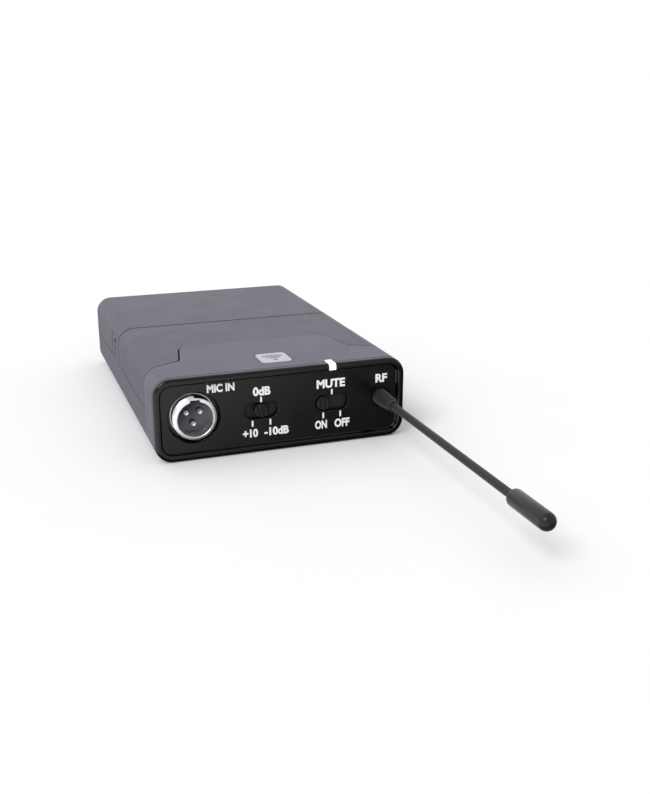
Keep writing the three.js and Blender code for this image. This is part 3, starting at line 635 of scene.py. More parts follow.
def spring_tree(material):
    """A coil of round wire, drawn along Z from a spiral."""
    tree, inside, outside = tree_with(
        "coil_spring", Turns=1.0, Start=1.0, End=1.0, Length=1.0, Wire=0.1
    )
    pick = inside.outputs
    spiral = add(
        tree,
        "GeometryNodeCurveSpiral",
        {
            "Resolution": 40,
            "Rotations": pick["Turns"],
            "Start Radius": pick["Start"],
            "End Radius": pick["End"],
            "Height": pick["Length"],
        },
    )
    ring = add(tree, "GeometryNodeCurvePrimitiveCircle", {"Resolution": 12, "Radius": pick["Wire"]})
    swept = add(
        tree,
        "GeometryNodeCurveToMesh",
        {"Curve": spiral.outputs[0], "Profile Curve": ring.outputs["Curve"], "Fill Caps": True},
    )
    shaded = add(tree, "GeometryNodeSetShadeSmooth", {"Geometry": swept.outputs[0]})
    real = add(tree, "GeometryNodeRealizeInstances", {"Geometry": shaded.outputs[0]})
    coated = add(
        tree, "GeometryNodeSetMaterial", {"Geometry": real.outputs[0], "Material": material}
    )
    tree.links.new(coated.outputs[0], outside.inputs[0])
    return tree


def row_tree(material):
    """Copies of one object on a grid of points."""
    tree, inside, outside = tree_with(
        "rows", Piece=None, Wide=1.0, Long=1.0, Columns=2, Rows=2
    )
    pick = inside.outputs
    grid = add(
        tree,
        "GeometryNodeMeshGrid",
        {
            "Size X": pick["Wide"],
            "Size Y": pick["Long"],
            "Vertices X": pick["Columns"],
            "Vertices Y": pick["Rows"],
        },
    )
    source = add(tree, "GeometryNodeObjectInfo", {"Object": pick["Piece"], "As Instance": True})
    copies = add(
        tree,
        "GeometryNodeInstanceOnPoints",
        {"Points": grid.outputs["Mesh"], "Instance": source.outputs["Geometry"]},
    )
    real = add(tree, "GeometryNodeRealizeInstances", {"Geometry": copies.outputs[0]})
    coated = add(
        tree, "GeometryNodeSetMaterial", {"Geometry": real.outputs[0], "Material": material}
    )
    tree.links.new(coated.outputs[0], outside.inputs[0])
    return tree


def rows(name, piece, material, wide, long, columns, count):
    """Copies of a piece spread over wide by long, about the origin."""
    thing = grown(
        name, row_tree(material), material, Piece=piece, Wide=wide, Long=long, Columns=columns, Rows=count
    )
    bpy.data.objects.remove(piece)
    return thing


def moved(thing, x=0.0, y=0.0, z=0.0, turn=None):
    """Moves a mesh, after turning it."""
    thing.data.transform(Matrix.Translation((x, y, z)) @ (turn or Matrix.Identity(4)))
    return thing


# ------------------------------------------------------------------ case


def bent(p0, p1, p2, steps=8):
    """Points on a quadratic curve, without its first point."""
    made = []
    for i in range(1, steps + 1):
        t = i / steps
        a, b, c = (1 - t) ** 2, 2 * t * (1 - t), t * t
        made.append((a * p0[0] + b * p1[0] + c * p2[0], a * p0[1] + b * p1[1] + c * p2[1]))
    return made


def collar_plan(grow):
    """The collar's outline from above: straight sides, swept shoulders and the tongue."""
    side = HALF + 1
    shoulder = COLLAR + grow
    root, tip, back = TONGUE_ROOT + grow, TONGUE_TIP + grow, TONGUE_END + grow
    rise = shoulder + SHOULDER_RISE
    start = (root + 1.6, rise - 0.25)
    turn_out = (root - 0.35, rise + 1.7)
    turn_in = (tip + 0.75, back - TONGUE_CORNER)
    half = [(side, shoulder), (HALF - SHOULDER_INSET, shoulder + 0.3), start]
    half += bent(start, (root, rise), turn_out)
    half += [turn_in]
    half += bent(turn_in, (tip, back), (tip - TONGUE_CORNER, back))
    mirrored = [(-x, y) for x, y in reversed(half)]
    return [(-side, -5), (side, -5), *half, *mirrored]


def tongue_wedge():
    """The low wedge that lifts the tongue above the cover."""
    profile = [
        (TONGUE_SLOPE, TOP - 1),
        (TONGUE_END + 1, TOP - 1),
        (TONGUE_END + 1, TOP + TONGUE_LIFT),
        (TONGUE_SLOPE, TOP),
    ]
    return along_x(profile, -TONGUE_ROOT, TONGUE_ROOT)


def guide_slot(extra):
    x0, x1 = GUIDE - GUIDE_HALF - extra, GUIDE + GUIDE_HALF + extra
    return block(x0, x1, RIM_FRONT - 1, GUIDE_BACK + extra, TOP - GUIDE_LOW - extra, TOP + 1)


def front_collar():
    skin = front_section(GAP, TONGUE_END + 1, COLLAR_ROUND)
    cut(skin, section(-1, TONGUE_END + 2, WALL))
    join(skin, tongue_wedge())
    plan = join(along_z(collar_plan(0), MIDDLE, TOP + 1), block(-40, 40, -5, COLLAR, -1, MIDDLE + 1))
    common(skin, plan)
    pocket = badge_outline(0.15)
    cut(skin, guide_slot(0.15), along_z(pocket, TOP - 0.6, TOP + 1))
    soften(skin, SEAM)
    return skin


def collar_lips():
    """The locating lip inside the joint behind the collar."""
    step = cut(section(COLLAR - 3, COLLAR, WALL - 0.1), section(0, 20, WALL + LIP))
    tube = cut(section(COLLAR - 1, COLLAR + 2, WALL + GAP), section(0, 20, WALL + LIP))
    return soften(join(step, tube), 0.1, 2)


def middle_cover():
    skin = cut(section(COLLAR - 1, DOOR_FRONT - DOOR_SEAM), section(0, CASE_LENGTH, WALL))
    common(skin, block(-40, 40, 0, CASE_LENGTH, MIDDLE + HALF_SEAM, TOP + 1))
    cut(skin, along_z(collar_plan(GAP), MIDDLE - 1, TOP + 1))
    soften(skin, SEAM)
    return skin


def cover_bosses():
    """The four posts inside the cover that take the case screws."""
    post = cut(peg(2.6, MIDDLE + 0.2, TOP - WALL + 0.1, 0, 0), peg(1.0, 0, TOP - 4, 0, 0))
    soften(post, 0.15, 2)
    wide, long = 2 * SCREW_X, SCREW_BACK - SCREW_FRONT
    posts = rows("cover_bosses", post, CASE, wide, long, 2, 2)
    return moved(posts, 0, (SCREW_FRONT + SCREW_BACK) / 2)


def door_knuckles():
    outer, step, centre = KNUCKLE_SPAN
    ends = [(-HALF, -outer - GAP), (-step + GAP, -centre - GAP)]
    return [*ends, *[(-b, -a) for a, b in reversed(ends)]]


def case_knuckles():
    outer, step, centre = KNUCKLE_SPAN
    return [(-outer, -step), (-centre, centre), (step, outer)]


def latch_hole(side):
    x = side * HALF
    top = MIDDLE + HALF_SEAM + LATCH_TALL + 0.03
    back = DOOR_FRONT + HALF_SEAM + LATCH_LENGTH + LATCH_SLIT
    return block(x - 3, x + 3, DOOR_FRONT - 1, back, 0, top)


def battery_door():
    blank_end = end_section(DOOR_FRONT + DOOR_SEAM, CASE_LENGTH)
    cut(blank_end, section(0, CASE_LENGTH - WALL, WALL))
    door = common(blank_end, block(-40, 40, 0, 100, MIDDLE + HALF_SEAM, TOP + 1))
    cut(door, block(-40, 40, PIN_Y - RELIEF - GAP, 100, 0, MIDDLE + RELIEF))
    soften(door, SEAM)
    return smooth(cut(door, latch_hole(-1), latch_hole(1)))


def door_hinge():
    """The door's knuckles and the webs that carry them."""
    parts = []
    for x0, x1 in door_knuckles():
        web = block(x0, x1, CASE_LENGTH - WALL, CASE_LENGTH - 0.7, MIDDLE, MIDDLE + RELIEF + 0.4)
        knuckle = join(rod(KNUCKLE, x0, x1, PIN_Y, MIDDLE, 40), web)
        common(knuckle, end_section(DOOR_FRONT, CASE_LENGTH))
        parts.append(cut(knuckle, rod(0.6, -HALF + 0.8, HALF - 0.8, PIN_Y, MIDDLE, 24)))
    return soften(together(*parts), 0.12, 2)


def door_latch(side):
    """The squeeze latch: a tongue of the side wall, with its pointer and two grip dimples."""
    y0 = DOOR_FRONT + HALF_SEAM
    z0 = MIDDLE + HALF_SEAM
    y1 = y0 + LATCH_LENGTH
    plate = cut(section(y0, y1), section(0, CASE_LENGTH, WALL))
    x0, x1 = sorted((side * (INNER - 0.1), side * (HALF + 1)))
    common(plate, block(x0, x1, y0, y1, z0, z0 + LATCH_TALL))
    x0, x1 = sorted((side * (HALF - 0.45), side * (HALF + 1)))
    tail, nose = y0 + 4.15, y0 + 7.15
    high = z0 + 5.65
    pointer = along_x([(tail, high - 1.05), (nose, high), (tail, high + 1.05)], x0, x1)
    dimples = [rod(0.6, x0, x1, y0 + y, z0 + z, 24) for y, z in ((5.65, 3.45), (6.25, 1.4))]
    # the root's inner edge is let back, so that the latch can turn about its outer one
    x0, x1 = sorted((side * (INNER - 1), side * (HALF - 0.6)))
    root = block(x0, x1, y0 - 1, y1 + 1, z0 + LATCH_TALL - 0.15, TOP)
    return smooth(cut(plate, pointer, root, *dimples))


def latch_hook(side):
    face = INNER - GAP
    z0 = MIDDLE + HALF_SEAM
    x0, x1 = sorted((side * (face - 0.8), side * face))
    b0, b1 = sorted((side * (face - 0.8), side * (INNER + 0.2)))
    hook = block(x0, x1, HOOK_FRONT, HOOK_BACK, z0 - 2, z0 + 1.5)
    join(hook, block(b0, b1, HOOK_FRONT, HOOK_BACK, z0, z0 + 1.5))
    return soften(hook, 0.15, 2)


def lower_shell():
    shell = cut(end_section(COLLAR + GAP, CASE_LENGTH), section(0, CASE_LENGTH - WALL, WALL))
    common(shell, block(-40, 40, 0, 100, -1, MIDDLE - HALF_SEAM))
    side, start = RECESS_HALF + 2, CLIP_PIVOT - 4
    join(
        shell,
        block(-side, side, start, CLIP_END + 3, 0.5, RECESS + 1),
        block(-side - 1, side + 1, start, CLIP_PIVOT + 4, 0.5, RECESS_DEEP + 1),
    )
    outline = rounded_rect(-RECESS_HALF, RECESS_HALF, CLIP_PIVOT - 2.4, CLIP_END + 1.5, 1.2, 6)
    cut(
        shell,
        along_z(outline, -1, RECESS),
        block(-RECESS_HALF + 0.4, RECESS_HALF - 0.4, CLIP_PIVOT - 2.3, CLIP_PIVOT + 2.4, -1, RECESS_DEEP),
        rod(0.8, -side, side, CLIP_PIVOT, CLIP_AXIS, 24),
    )
    sinks = []
    for x in (-SCREW_X, SCREW_X):
        for y in (SCREW_FRONT, SCREW_BACK):
            join(shell, peg(3, WALL - 0.2, MIDDLE - HALF_SEAM, x, y))
            sinks += [peg(1.3, 0, TOP, x, y), peg(SCREW_HEAD + 0.3, -1, SCREW_SINK + 1.7, x, y)]
    cut(shell, *sinks)
    for x0, x1 in door_knuckles():
        cut(shell, rod(KNUCKLE + GAP, x0 - GAP, x1 + GAP, PIN_Y, MIDDLE, 40))
    soften(shell, SEAM)
    return shell


def shell_hinge():
    """The case's knuckles, standing on the back wall."""
    parts = []
    for x0, x1 in case_knuckles():
        web = block(x0, x1, CASE_LENGTH - WALL, CASE_LENGTH, MIDDLE - 2, MIDDLE)
        knuckle = join(rod(KNUCKLE, x0, x1, PIN_Y, MIDDLE, 40), web)
        parts.append(cut(knuckle, rod(0.6, -HALF, HALF, PIN_Y, MIDDLE, 24)))
    return soften(together(*parts), 0.12, 2)


def badge_outline(extra):
    x, y, _ = middle_of("badge_plate")
    wide, long = 4 + extra, 4.2 + extra
    return rounded_rect(x - 0.2 - wide, x - 0.2 + wide, y - long, y + long, 1.4 + extra)


def badge_plate():
    plate = along_z(badge_outline(0), TOP - 0.5, TOP + 0.03)
    return soften(plate, 0.1, 2)


def badge_waves():
    """A generic sign on the badge: a dot with three arcs of spreading waves."""
    x, y, _ = middle_of("badge_plate")
    low, high = TOP + 0.02, TOP + 0.06
    x, centre = x - 0.2, y - 2
    signs = [peg(0.6, low, high, x, centre)]
    for radius in (1.7, 2.9, 4.1):
        outer = arc(x, centre, radius + 0.33, 50, 130, 20)
        inner = arc(x, centre, radius - 0.33, 130, 50, 20)
        signs.append(along_z([*outer, *inner], low, high))
    return together(*signs)


# ------------------------------------------------------------------ control panel


def stadium(x, z, length, height, steps=16):
    reach, high = length / 2, height / 2
    return rounded_rect(x - reach, x + reach, z - high, z + high, high, steps)


def control_panel():
    """The plate and its raised rim, one moulding, with a generous outer rounding."""
    loops = [case_loop(PLATE_BACK, WALL + GAP), case_loop(0, WALL + GAP), case_loop(0)]
    loops += [case_loop(y, inset) for inset, y in rounding(RIM_ROUND, RIM_FRONT, -1, 8)]
    top = RIM - RIM_EDGE
    for i in range(5):
        angle = math.pi / 2 * i / 4
        inset = top + RIM_EDGE * math.sin(angle)
        loops.append(case_loop(RIM_FRONT + RIM_EDGE * (1 - math.cos(angle)), inset))
    loops += [case_loop(FACE - 0.2, RIM), case_loop(FACE - 0.06, RIM + 0.06), case_loop(FACE, RIM + 0.2)]
    plate = loft(loops)
    join(plate, disc(WELL + WELL_WALL, 0, WELL_FLOOR + 0.2, SOCKET, MIDDLE))
    cut(
        plate,
        disc(WELL, FACE - 1, WELL_FLOOR, SOCKET, MIDDLE, 96),
        disc(BARREL + 0.25, 0, 5, SOCKET, MIDDLE, 96),
        disc(BOOT + 0.5, FACE - 1, 5, ANTENNA, MIDDLE, 64),
        along_y(stadium(GAIN, MIDDLE, SLOT_LENGTH, SLOT_HEIGHT), FACE - 1, 5),
        along_y(stadium(POWER, MIDDLE, SLOT_LENGTH, SLOT_HEIGHT), FACE - 1, 5),
        guide_slot(0.08),
    )
    soften(plate, 0.16)
    return plate


def well_key():
    """A black block in the barrel's cut-out: painted shade, a dark piece that makes the notch read dark.
    """
    start, end = CUT_START + 7, CUT_END - 1
    outer = arc(SOCKET, MIDDLE, BARREL - 0.02, start, end, 16)
    inner = arc(SOCKET, MIDDLE, BARREL - CUT_DEEP, end, start, 16)
    return soften(along_y([*outer, *inner], BARREL_FRONT + 0.35, WELL_FLOOR), 0.06, 2)


def light_guide():
    x0, x1 = GUIDE - GUIDE_HALF, GUIDE + GUIDE_HALF
    profile = [
        (GUIDE_BACK, TOP - GUIDE_THICK),
        (GUIDE_BACK, TOP + 0.02),
        (RIM_FRONT + 0.7, TOP + 0.02),
        (RIM_FRONT + 0.2, TOP - 0.2),
        (RIM_FRONT - 0.02, TOP - 0.7),
        (RIM_FRONT - 0.02, TOP - GUIDE_LOW),
        (FACE - 0.1, TOP - GUIDE_LOW),
        (FACE - 0.1, TOP - GUIDE_THICK),
    ]
    guide = along_x(profile, x0, x1)
    leg, low = PLATE_BACK + GAP, TOP - GUIDE_DROP
    join(
        guide,
        block(x0, x1, leg, GUIDE_BACK, low, TOP - 1),
        block(x0, x1, leg, GUIDE_END, low, low + GUIDE_THICK),
    )
    return soften(guide, 0.18)


def legend(words, x, z, tall, wide):
    """Raised print: bold words fitted to a height and width about x and z."""
    curve = bpy.data.curves.new("legend", "FONT")
    curve.body = words
    curve.align_x = "CENTER"
    curve.offset = 0.042
    curve.extrude = 0.5
    curve.resolution_u = 4
    text = bpy.data.objects.new("legend", curve)
    bpy.context.scene.collection.objects.link(text)
    graph = bpy.context.evaluated_depsgraph_get()
    mesh = bpy.data.meshes.new_from_object(text.evaluated_get(graph))
    bpy.data.objects.remove(text)
    thing = bpy.data.objects.new("legend", mesh)
    bpy.context.scene.collection.objects.link(thing)
    low = Vector(map(min, *[v.co for v in mesh.vertices]))
    high = Vector(map(max, *[v.co for v in mesh.vertices]))
    size = high - low
    flat = Matrix.Diagonal((wide / size.x, tall / size.y, 0.03 / size.z, 1))
    stand = Matrix.Rotation(math.pi / 2, 4, "X")
    mesh.transform(stand @ flat @ Matrix.Translation(-(low + high) / 2))
    mesh.transform(Matrix.Translation((x, FACE - 0.015, z)))
    return thing


def tick(x, z0, z1):
    return block(x - 0.22, x + 0.22, FACE - 0.03, FACE + 0.02, z0, z1)


def panel_print():
    """White print: a generic scale and generic words where the panel carries them."""
    words = [
        ("MIC IN", -15.7, 17.55, 2.1, 6.9),
        ("0dB", -5.4, 15.6, 2.3, 4.5),
        ("+10", -8.5, 4.85, 2.2, 3.9),
        ("-10dB", -1.7, 4.85, 2.2, 6.4),
        ("MUTE", 12.75, 15.7, 2.3, 7.6),
        ("ON", 10.1, 4.95, 2.3, 3.2),
        ("OFF", 15.8, 4.9, 2.3, 4.1),
        ("RF", 26.5, 15.7, 2.3, 3.2),
    ]
    marks = [legend(*word) for word in words]
    for slot_x in (GAIN, POWER):
        marks.append(tick(slot_x, 12.75, 14.15))
        marks += [tick(slot_x + shift, 6.6, 8.1) for shift in (-DETENT, DETENT)]
    return together(*marks)


def slide_knob(x):
    """Round knob with a turned edge, its shutter and its stem."""
    front = FACE - 0.2
    edge = [(0, front), (KNOB - 0.25, front), (KNOB - 0.07, front + 0.07), (KNOB, front + 0.25)]
    foot = [(KNOB, SHUTTER_FRONT + 0.1), (0, SHUTTER_FRONT + 0.1)]
    knob = turned([*edge, *foot], x, MIDDLE)
    cover, tall = SLOT_LENGTH / 2 + DETENT + 0.15, SLOT_HEIGHT / 2 + 0.7
    back = SHUTTER_FRONT + SHUTTER
    plate = block(x - cover, x + cover, SHUTTER_FRONT, back, MIDDLE - tall, MIDDLE + tall)
    groove = cut(
        disc(2.5, SHUTTER_FRONT - 0.2, SHUTTER_FRONT + 0.15, x, MIDDLE),
        disc(2.2, SHUTTER_FRONT - 0.3, SHUTTER_FRONT + 0.3, x, MIDDLE),
    )
    stem = block(x - 1, x + 1, SHUTTER_FRONT, back + STEM, MIDDLE - 1, MIDDLE + 1)
    soften(cut(join(plate, stem), groove), 0.06, 2)
    return together(smooth(knob), plate)


def knob_ribs(name, x):
    """Three finger ribs, cut to the knob's round edge."""
    front = FACE - 0.5
    profile = [(0.35, -2), (0.35, 2), (0.12, 2), (0, 1.8), (0, -1.8), (0.12, -2)]
    rib = along_x(profile, -0.22, 0.22)
    soften(rib, 0.1, 2)
    ribs = rows(name, rib, DARK, 2.1, 0, 3, 1)
    moved(ribs, x, front, MIDDLE)
    return common(ribs, disc(KNOB - 0.15, front - 1, 3, x, MIDDLE))


# ------------------------------------------------------------------ microphone socket


def socket_barrel():
    """Turned barrel with a chamfered mouth, a fine thread, a key groove and an outer cut-out."""
    y0, y1 = BARREL_FRONT, BARREL_BACK
    thread = []
    for turn in range(TURNS):
        start = y0 + 0.1 + turn * PITCH
        thread += [(BARREL - THREAD, start), (BARREL, start + PITCH - 0.03)]
    nut = WELL_FLOOR + 0.3
    tube = turned(
        [
            (BORE, y1),
            (BORE, y0 + 0.08),
            (BORE + 0.08, y0),
            (BARREL - 0.3, y0),
            (BARREL - 0.08, y0 + 0.08),
            *thread,
            (BARREL, nut),
            (FLANGE, nut),
            (FLANGE, nut + 0.5),
            (BARREL, nut + 0.5),
            (BARREL, y1),
        ],
        SOCKET,
        MIDDLE,
        128,
    )
    outer = arc(SOCKET, MIDDLE, BARREL + 1, CUT_START, CUT_END, 20)
    inner = arc(SOCKET, MIDDLE, BARREL - CUT_DEEP, CUT_END, CUT_START, 20)
    step = along_y([*outer, *inner], y0 + 0.3, WELL_FLOOR)
    top = MIDDLE + BORE + KEY_DEEP
    groove = block(SOCKET - KEY / 2, SOCKET + KEY / 2, y0 - 1, INSERT_FACE, MIDDLE, top)
    return smooth(cut(tube, step, groove), 30)


def contact_places():
    for degrees in (150, 30, 270):
        angle = math.radians(degrees)
        yield SOCKET + CONTACT_CIRCLE * math.cos(angle), MIDDLE + CONTACT_CIRCLE * math.sin(angle)


def socket_insert():
    """Moulded insert with a slightly dished face."""
    y0, side = INSERT_FACE, BORE - 0.02
    dish = [(0, y0 + 0.45), (1.6, y0 + 0.38), (3.2, y0 + 0.2), (side, y0)]
    body = turned([*dish, (side, BARREL_BACK), (0, BARREL_BACK)], SOCKET, MIDDLE, 96)
    holes = [disc(CONTACT + 0.12, y0 - 1, BARREL_BACK + 1, x, z, 32) for x, z in contact_places()]
    return smooth(cut(body, *holes), 30)


def socket_contact(x, z, node):
    """A pin with a chamfered nose, bent down to the board behind the insert."""
    low, high = span(node)
    tip = low.y
    nose = [(CONTACT, tip + 0.2), (CONTACT - 0.16, tip), (0.2, tip), (0, tip + 0.12)]
    pin = turned([(0, high.y), (CONTACT, high.y), *nose], x, z, 32)
    leg = peg(CONTACT, low.z, z, x, high.y - CONTACT, 24)
    return smooth(join(pin, leg))


# ------------------------------------------------------------------ antenna


def antenna_boot():
    profile = [
        (ROD + 0.05, BOOT_END + 0.05),
        (1.3, BOOT_END),
        (1.42, BOOT_END + 0.12),
        (1.45, BOOT_END + 0.3),
        (1.45, BOOT_END + 1.0),
        (1.38, BOOT_END + 1.15),
        (1.38, BOOT_END + 1.3),
        (1.56, BOOT_END + 1.45),
        (1.68, BOOT_END + 2.6),
        (1.84, BOOT_END + 4.4),
        (2.0, BOOT_END + 6.4),
        (BOOT, FACE - 0.9),
        (BOOT, 1.2),
        (BOOT_FLANGE, 1.2),
        (BOOT_FLANGE, 2.4),
        (ROD + 0.05, 2.4),
    ]
    return smooth(turned(profile, ANTENNA, MIDDLE, 64), 40)


def antenna_whip():
    low, high = span("antenna_whip")
    front = [(0, low.y), (ROD - 0.1, low.y), (ROD, low.y + 0.1)]
    back = [(ROD, high.y - 0.1), (ROD - 0.1, high.y), (0, high.y)]
    return smooth(turned([*front, *back], ANTENNA, MIDDLE, 40))


def antenna_tip():
    """Soft cap: a hemispherical nose with a mould witness dimple and a rounded mouth."""
    nose = arc(0, 0, TIP_RADIUS, 90, 4, 18)
    profile = [(0, TIP_END + 0.08), *[(r, TIP_END + TIP_RADIUS - d) for r, d in nose[3:]]]
    profile += [
        (TIP_RADIUS, TIP_MOUTH - 0.7),
        (TIP_RADIUS - 0.12, TIP_MOUTH - 0.25),
        (TIP_RADIUS - 0.4, TIP_MOUTH),
        (ROD + 0.15, TIP_MOUTH),
        (ROD + 0.05, TIP_MOUTH - 0.2),
        (ROD + 0.05, TIP_MOUTH - 3),
        (0, TIP_MOUTH - 3),
    ]
    return smooth(turned(profile, ANTENNA, MIDDLE, 64), 40)


# ------------------------------------------------------------------ belt clip and fasteners


def belt_clip():
    """Sheet steel clip with a curled knuckle and a pressed rib."""
    outline = rounded_rect(-CLIP_HALF, CLIP_HALF, CLIP_PIVOT - 3, CLIP_END, 3, 10)
    plate = along_z(outline, CLIP_SUNK, CLIP_SUNK + CLIP_THICK)
    cut(plate, block(-40, 40, 0, CLIP_PIVOT + 0.1, -1, 5))
    join(plate, rod(CLIP_KNUCKLE, -CLIP_HALF, CLIP_HALF, CLIP_PIVOT, CLIP_AXIS, 40))
    cut(
        plate,
        rod(0.75, -40, 40, CLIP_PIVOT, CLIP_AXIS, 24),
        block(-4, 4, CLIP_PIVOT - 3, CLIP_PIVOT + 2.2, -1, 5),
        along_z(rounded_rect(-5, 5, CLIP_PIVOT + 8, CLIP_END - 12, 4.9, 8), -1, CLIP_SUNK + 0.22),
    )
    soften(plate, 0.16)
    return plate


def clip_grips():
    """Pressed grip ribs across the clip's free end."""
    rib = along_z(rounded_rect(-6, 6, -0.4, 0.4, 0.39, 5), 0, 0.26)
    soften(rib, 0.08, 2)
    ribs = rows("clip_grips", rib, SPRING_STEEL, 0, 6, 1, 4)
    return moved(ribs, 0, CLIP_END - 6, CLIP_SUNK - 0.24)


def coil(name, x0, x1, start, end, turns, wire, y, z, material=STEEL):
    """A coil spring along X."""
    sizes = {"Turns": turns, "Start": start, "End": end, "Length": abs(x1 - x0), "Wire": wire}
    spring = grown(name, spring_tree(material), material, **sizes)
    turn = Matrix.Rotation(math.pi / 2 if x1 > x0 else -math.pi / 2, 4, "Y")
    return moved(spring, x0, y, z, turn)


def cross_screw(radius, tall, shank, length):
    """Pan head screw on Z = 0 with its shank upwards and a cross recess below."""
    head = [(0, 0), (radius * 0.55, 0), (radius * 0.85, 0.18), (radius, 0.55), (radius, tall)]
    stalk = [(shank, tall), (shank, length - 0.5), (shank * 0.5, length), (0, length)]
    screw = turned([*head, *stalk], 0, 0, 40)
    screw.data.transform(Matrix.Rotation(math.pi / 2, 4, "X"))
    reach = radius * 0.62
    cut(screw, block(-0.24, 0.24, -reach, reach, -1, 0.7), block(-reach, reach, -0.24, 0.24, -1, 0.7))
    return smooth(screw, 30)


def case_screws():
    screw = cross_screw(SCREW_HEAD, 1.4, SCREW_SHANK, TOP - WALL - 3.9)
    wide, long = 2 * SCREW_X, SCREW_BACK - SCREW_FRONT
    four = rows("case_screws", screw, STEEL, wide, long, 2, 2)
    return moved(four, 0, (SCREW_FRONT + SCREW_BACK) / 2, SCREW_SINK)


# ------------------------------------------------------------------ batteries


def cell(node, plus):
    """A cell along X: sleeve with rolled-in ends, and its nub towards plus."""
    low, high = span(node)
    middle = (low + high) / 2
    radius = (high.z - low.z) / 2
    reach = (high.x - low.x) / 2
    body = reach - 1
    ends = []
    for end, way in ((-reach, 1), (body, -1)):
        inner = [(0, end + way * 0.15), (radius - 1.2, end + way * 0.15), (radius - 0.9, end)]
        outer = [(radius - 0.25, end), (radius, end + way * 0.3)]
        ends.append([*inner, *outer])
    sleeve = [*ends[0], *reversed(ends[1])]
    nub = [(0, body - 0.3), (2.7, body - 0.3), (2.7, reach - 0.3), (2.4, reach), (0, reach)]
    turn = Matrix.Rotation(-math.pi / 2 * plus, 4, "Z")
    made = [smooth(turned(profile, 0, 0, 96), 30) for profile in (sleeve, nub)]
    return [moved(thing, *middle, turn) for thing in made]


def plus_band(node, plus):
    """The coloured band of the sleeve at the plus end."""
    low, high = span(node)
    middle = (low + high) / 2
    radius = (high.z - low.z) / 2 + 0.03
    body = (high.x - low.x) / 2 - 1
    front, back = body - 13, body - 0.4
    profile = [(radius - 0.3, front), (radius, front), (radius, back), (radius - 0.3, back)]
    turn = Matrix.Rotation(-math.pi / 2 * plus, 4, "Z")
    return moved(smooth(turned(profile, 0, 0, 96), 30), *middle, turn)


# ------------------------------------------------------------------ assembly


def build_case():
    finish_piece(front_collar(), "collar_shell", COLLAR_GREY, "case", "front_collar")
    finish_piece(collar_lips(), "collar_lip", COLLAR_GREY, "case")
    finish_piece(middle_cover(), "cover_shell", CASE, "case", "middle_cover")
    finish_piece(cover_bosses(), "cover_bosses", CASE, "case")
    finish_piece(lower_shell(), "base_shell", CASE, "case", "lower_shell")
    finish_piece(shell_hinge(), "base_knuckles", CASE, "case")
    finish_piece(badge_plate(), "badge", BADGE, "case", "badge_plate")
    finish_piece(badge_waves(), "badge_waves", BADGE_INK, "case")
    finish_piece(case_screws(), "case_screws", STEEL, "case", *[f"case_screw_{i}" for i in range(1, 5)])


def build_door():
    finish_piece(battery_door(), "door_shell", CASE, "door", "battery_door")
    finish_piece(door_hinge(), "door_knuckles", CASE, "door")
    for name, side in (("left", -1), ("right", 1)):
        finish_piece(door_latch(side), f"latch_plate_{name}", CASE, f"latch_{name}", f"door_latch_{name}")
        finish_piece(latch_hook(side), f"latch_hook_{name}", CASE, f"latch_{name}")


def build_panel():
    finish_piece(control_panel(), "panel_moulding", GLOSS, "case", "control_panel")
    # painted shade: a black block that darkens the barrel's cut-out
    finish_piece(well_key(), "well_key", BLACK_AND_SHADE, "case")
    finish_piece(light_guide(), "guide_moulding", GUIDE_LIGHT, "case", "light_guide")
    finish_piece(panel_print(), "panel_print", INK, "case")
    for name, x in (("gain", GAIN), ("power", POWER_REST)):
        finish_piece(slide_knob(x), f"{name}_slide", DARK, f"{name}_slider", f"{name}_knob")
        finish_piece(knob_ribs(f"{name}_ribs", x), f"{name}_ribs", DARK, f"{name}_slider")


def build_socket():
    finish_piece(socket_barrel(), "barrel_shell", NICKEL, "case", "socket_barrel")
    finish_piece(socket_insert(), "insert_moulding", INSERT, "case", "socket_insert")
    for index, (x, z) in enumerate(contact_places(), 1):
        node = f"socket_pin_{index}"
        finish_piece(socket_contact(x, z, node), f"contact_{index}", CONTACT_NICKEL, "case", node)


def build_antenna():
    finish_piece(antenna_boot(), "boot_moulding", RUBBER, "case", "antenna_boot")
    finish_piece(antenna_whip(), "whip_sleeve", RUBBER, "case", "antenna_whip")
    finish_piece(antenna_tip(), "tip_cap", TIP_RUBBER, "case", "antenna_tip")


def build_clip():
    finish_piece(belt_clip(), "clip_spring_plate", SPRING_STEEL, "clip", "belt_clip")
    finish_piece(clip_grips(), "clip_grips", SPRING_STEEL, "clip")
    spring = coil("clip_coil", -3.4, 3.4, 1.0, 1.0, 5.0, 0.2, CLIP_PIVOT, CLIP_AXIS)
    finish_piece(spring, "clip_coil", STEEL, "case", "clip_spring")


def build_batteries():
    for node, plus in (("battery_front", 1), ("battery_back", -1)):
        sleeve, nub = cell(node, plus)
        finish_piece(sleeve, f"{node}_sleeve", SLEEVE, "case", node)
        finish_piece(nub, f"{node}_nub", TIN, "case")
        finish_piece(plus_band(node, plus), f"{node}_band", BADGE, "case")
    wire = 0.3
    for node, way in (("battery_spring_front", 1), ("battery_spring_back", -1)):
        low, high = span(node)
        x0, x1 = (low.x, high.x) if way > 0 else (high.x, low.x)
        _, y, z = middle_of(node.replace("spring_", ""))
        spring = coil(node, x0 + way * wire, x1 - way * wire, 3.2, 1.9, 2.5, wire, y, z)
        finish_piece(spring, f"{node}_coil", STEEL, "case", node)


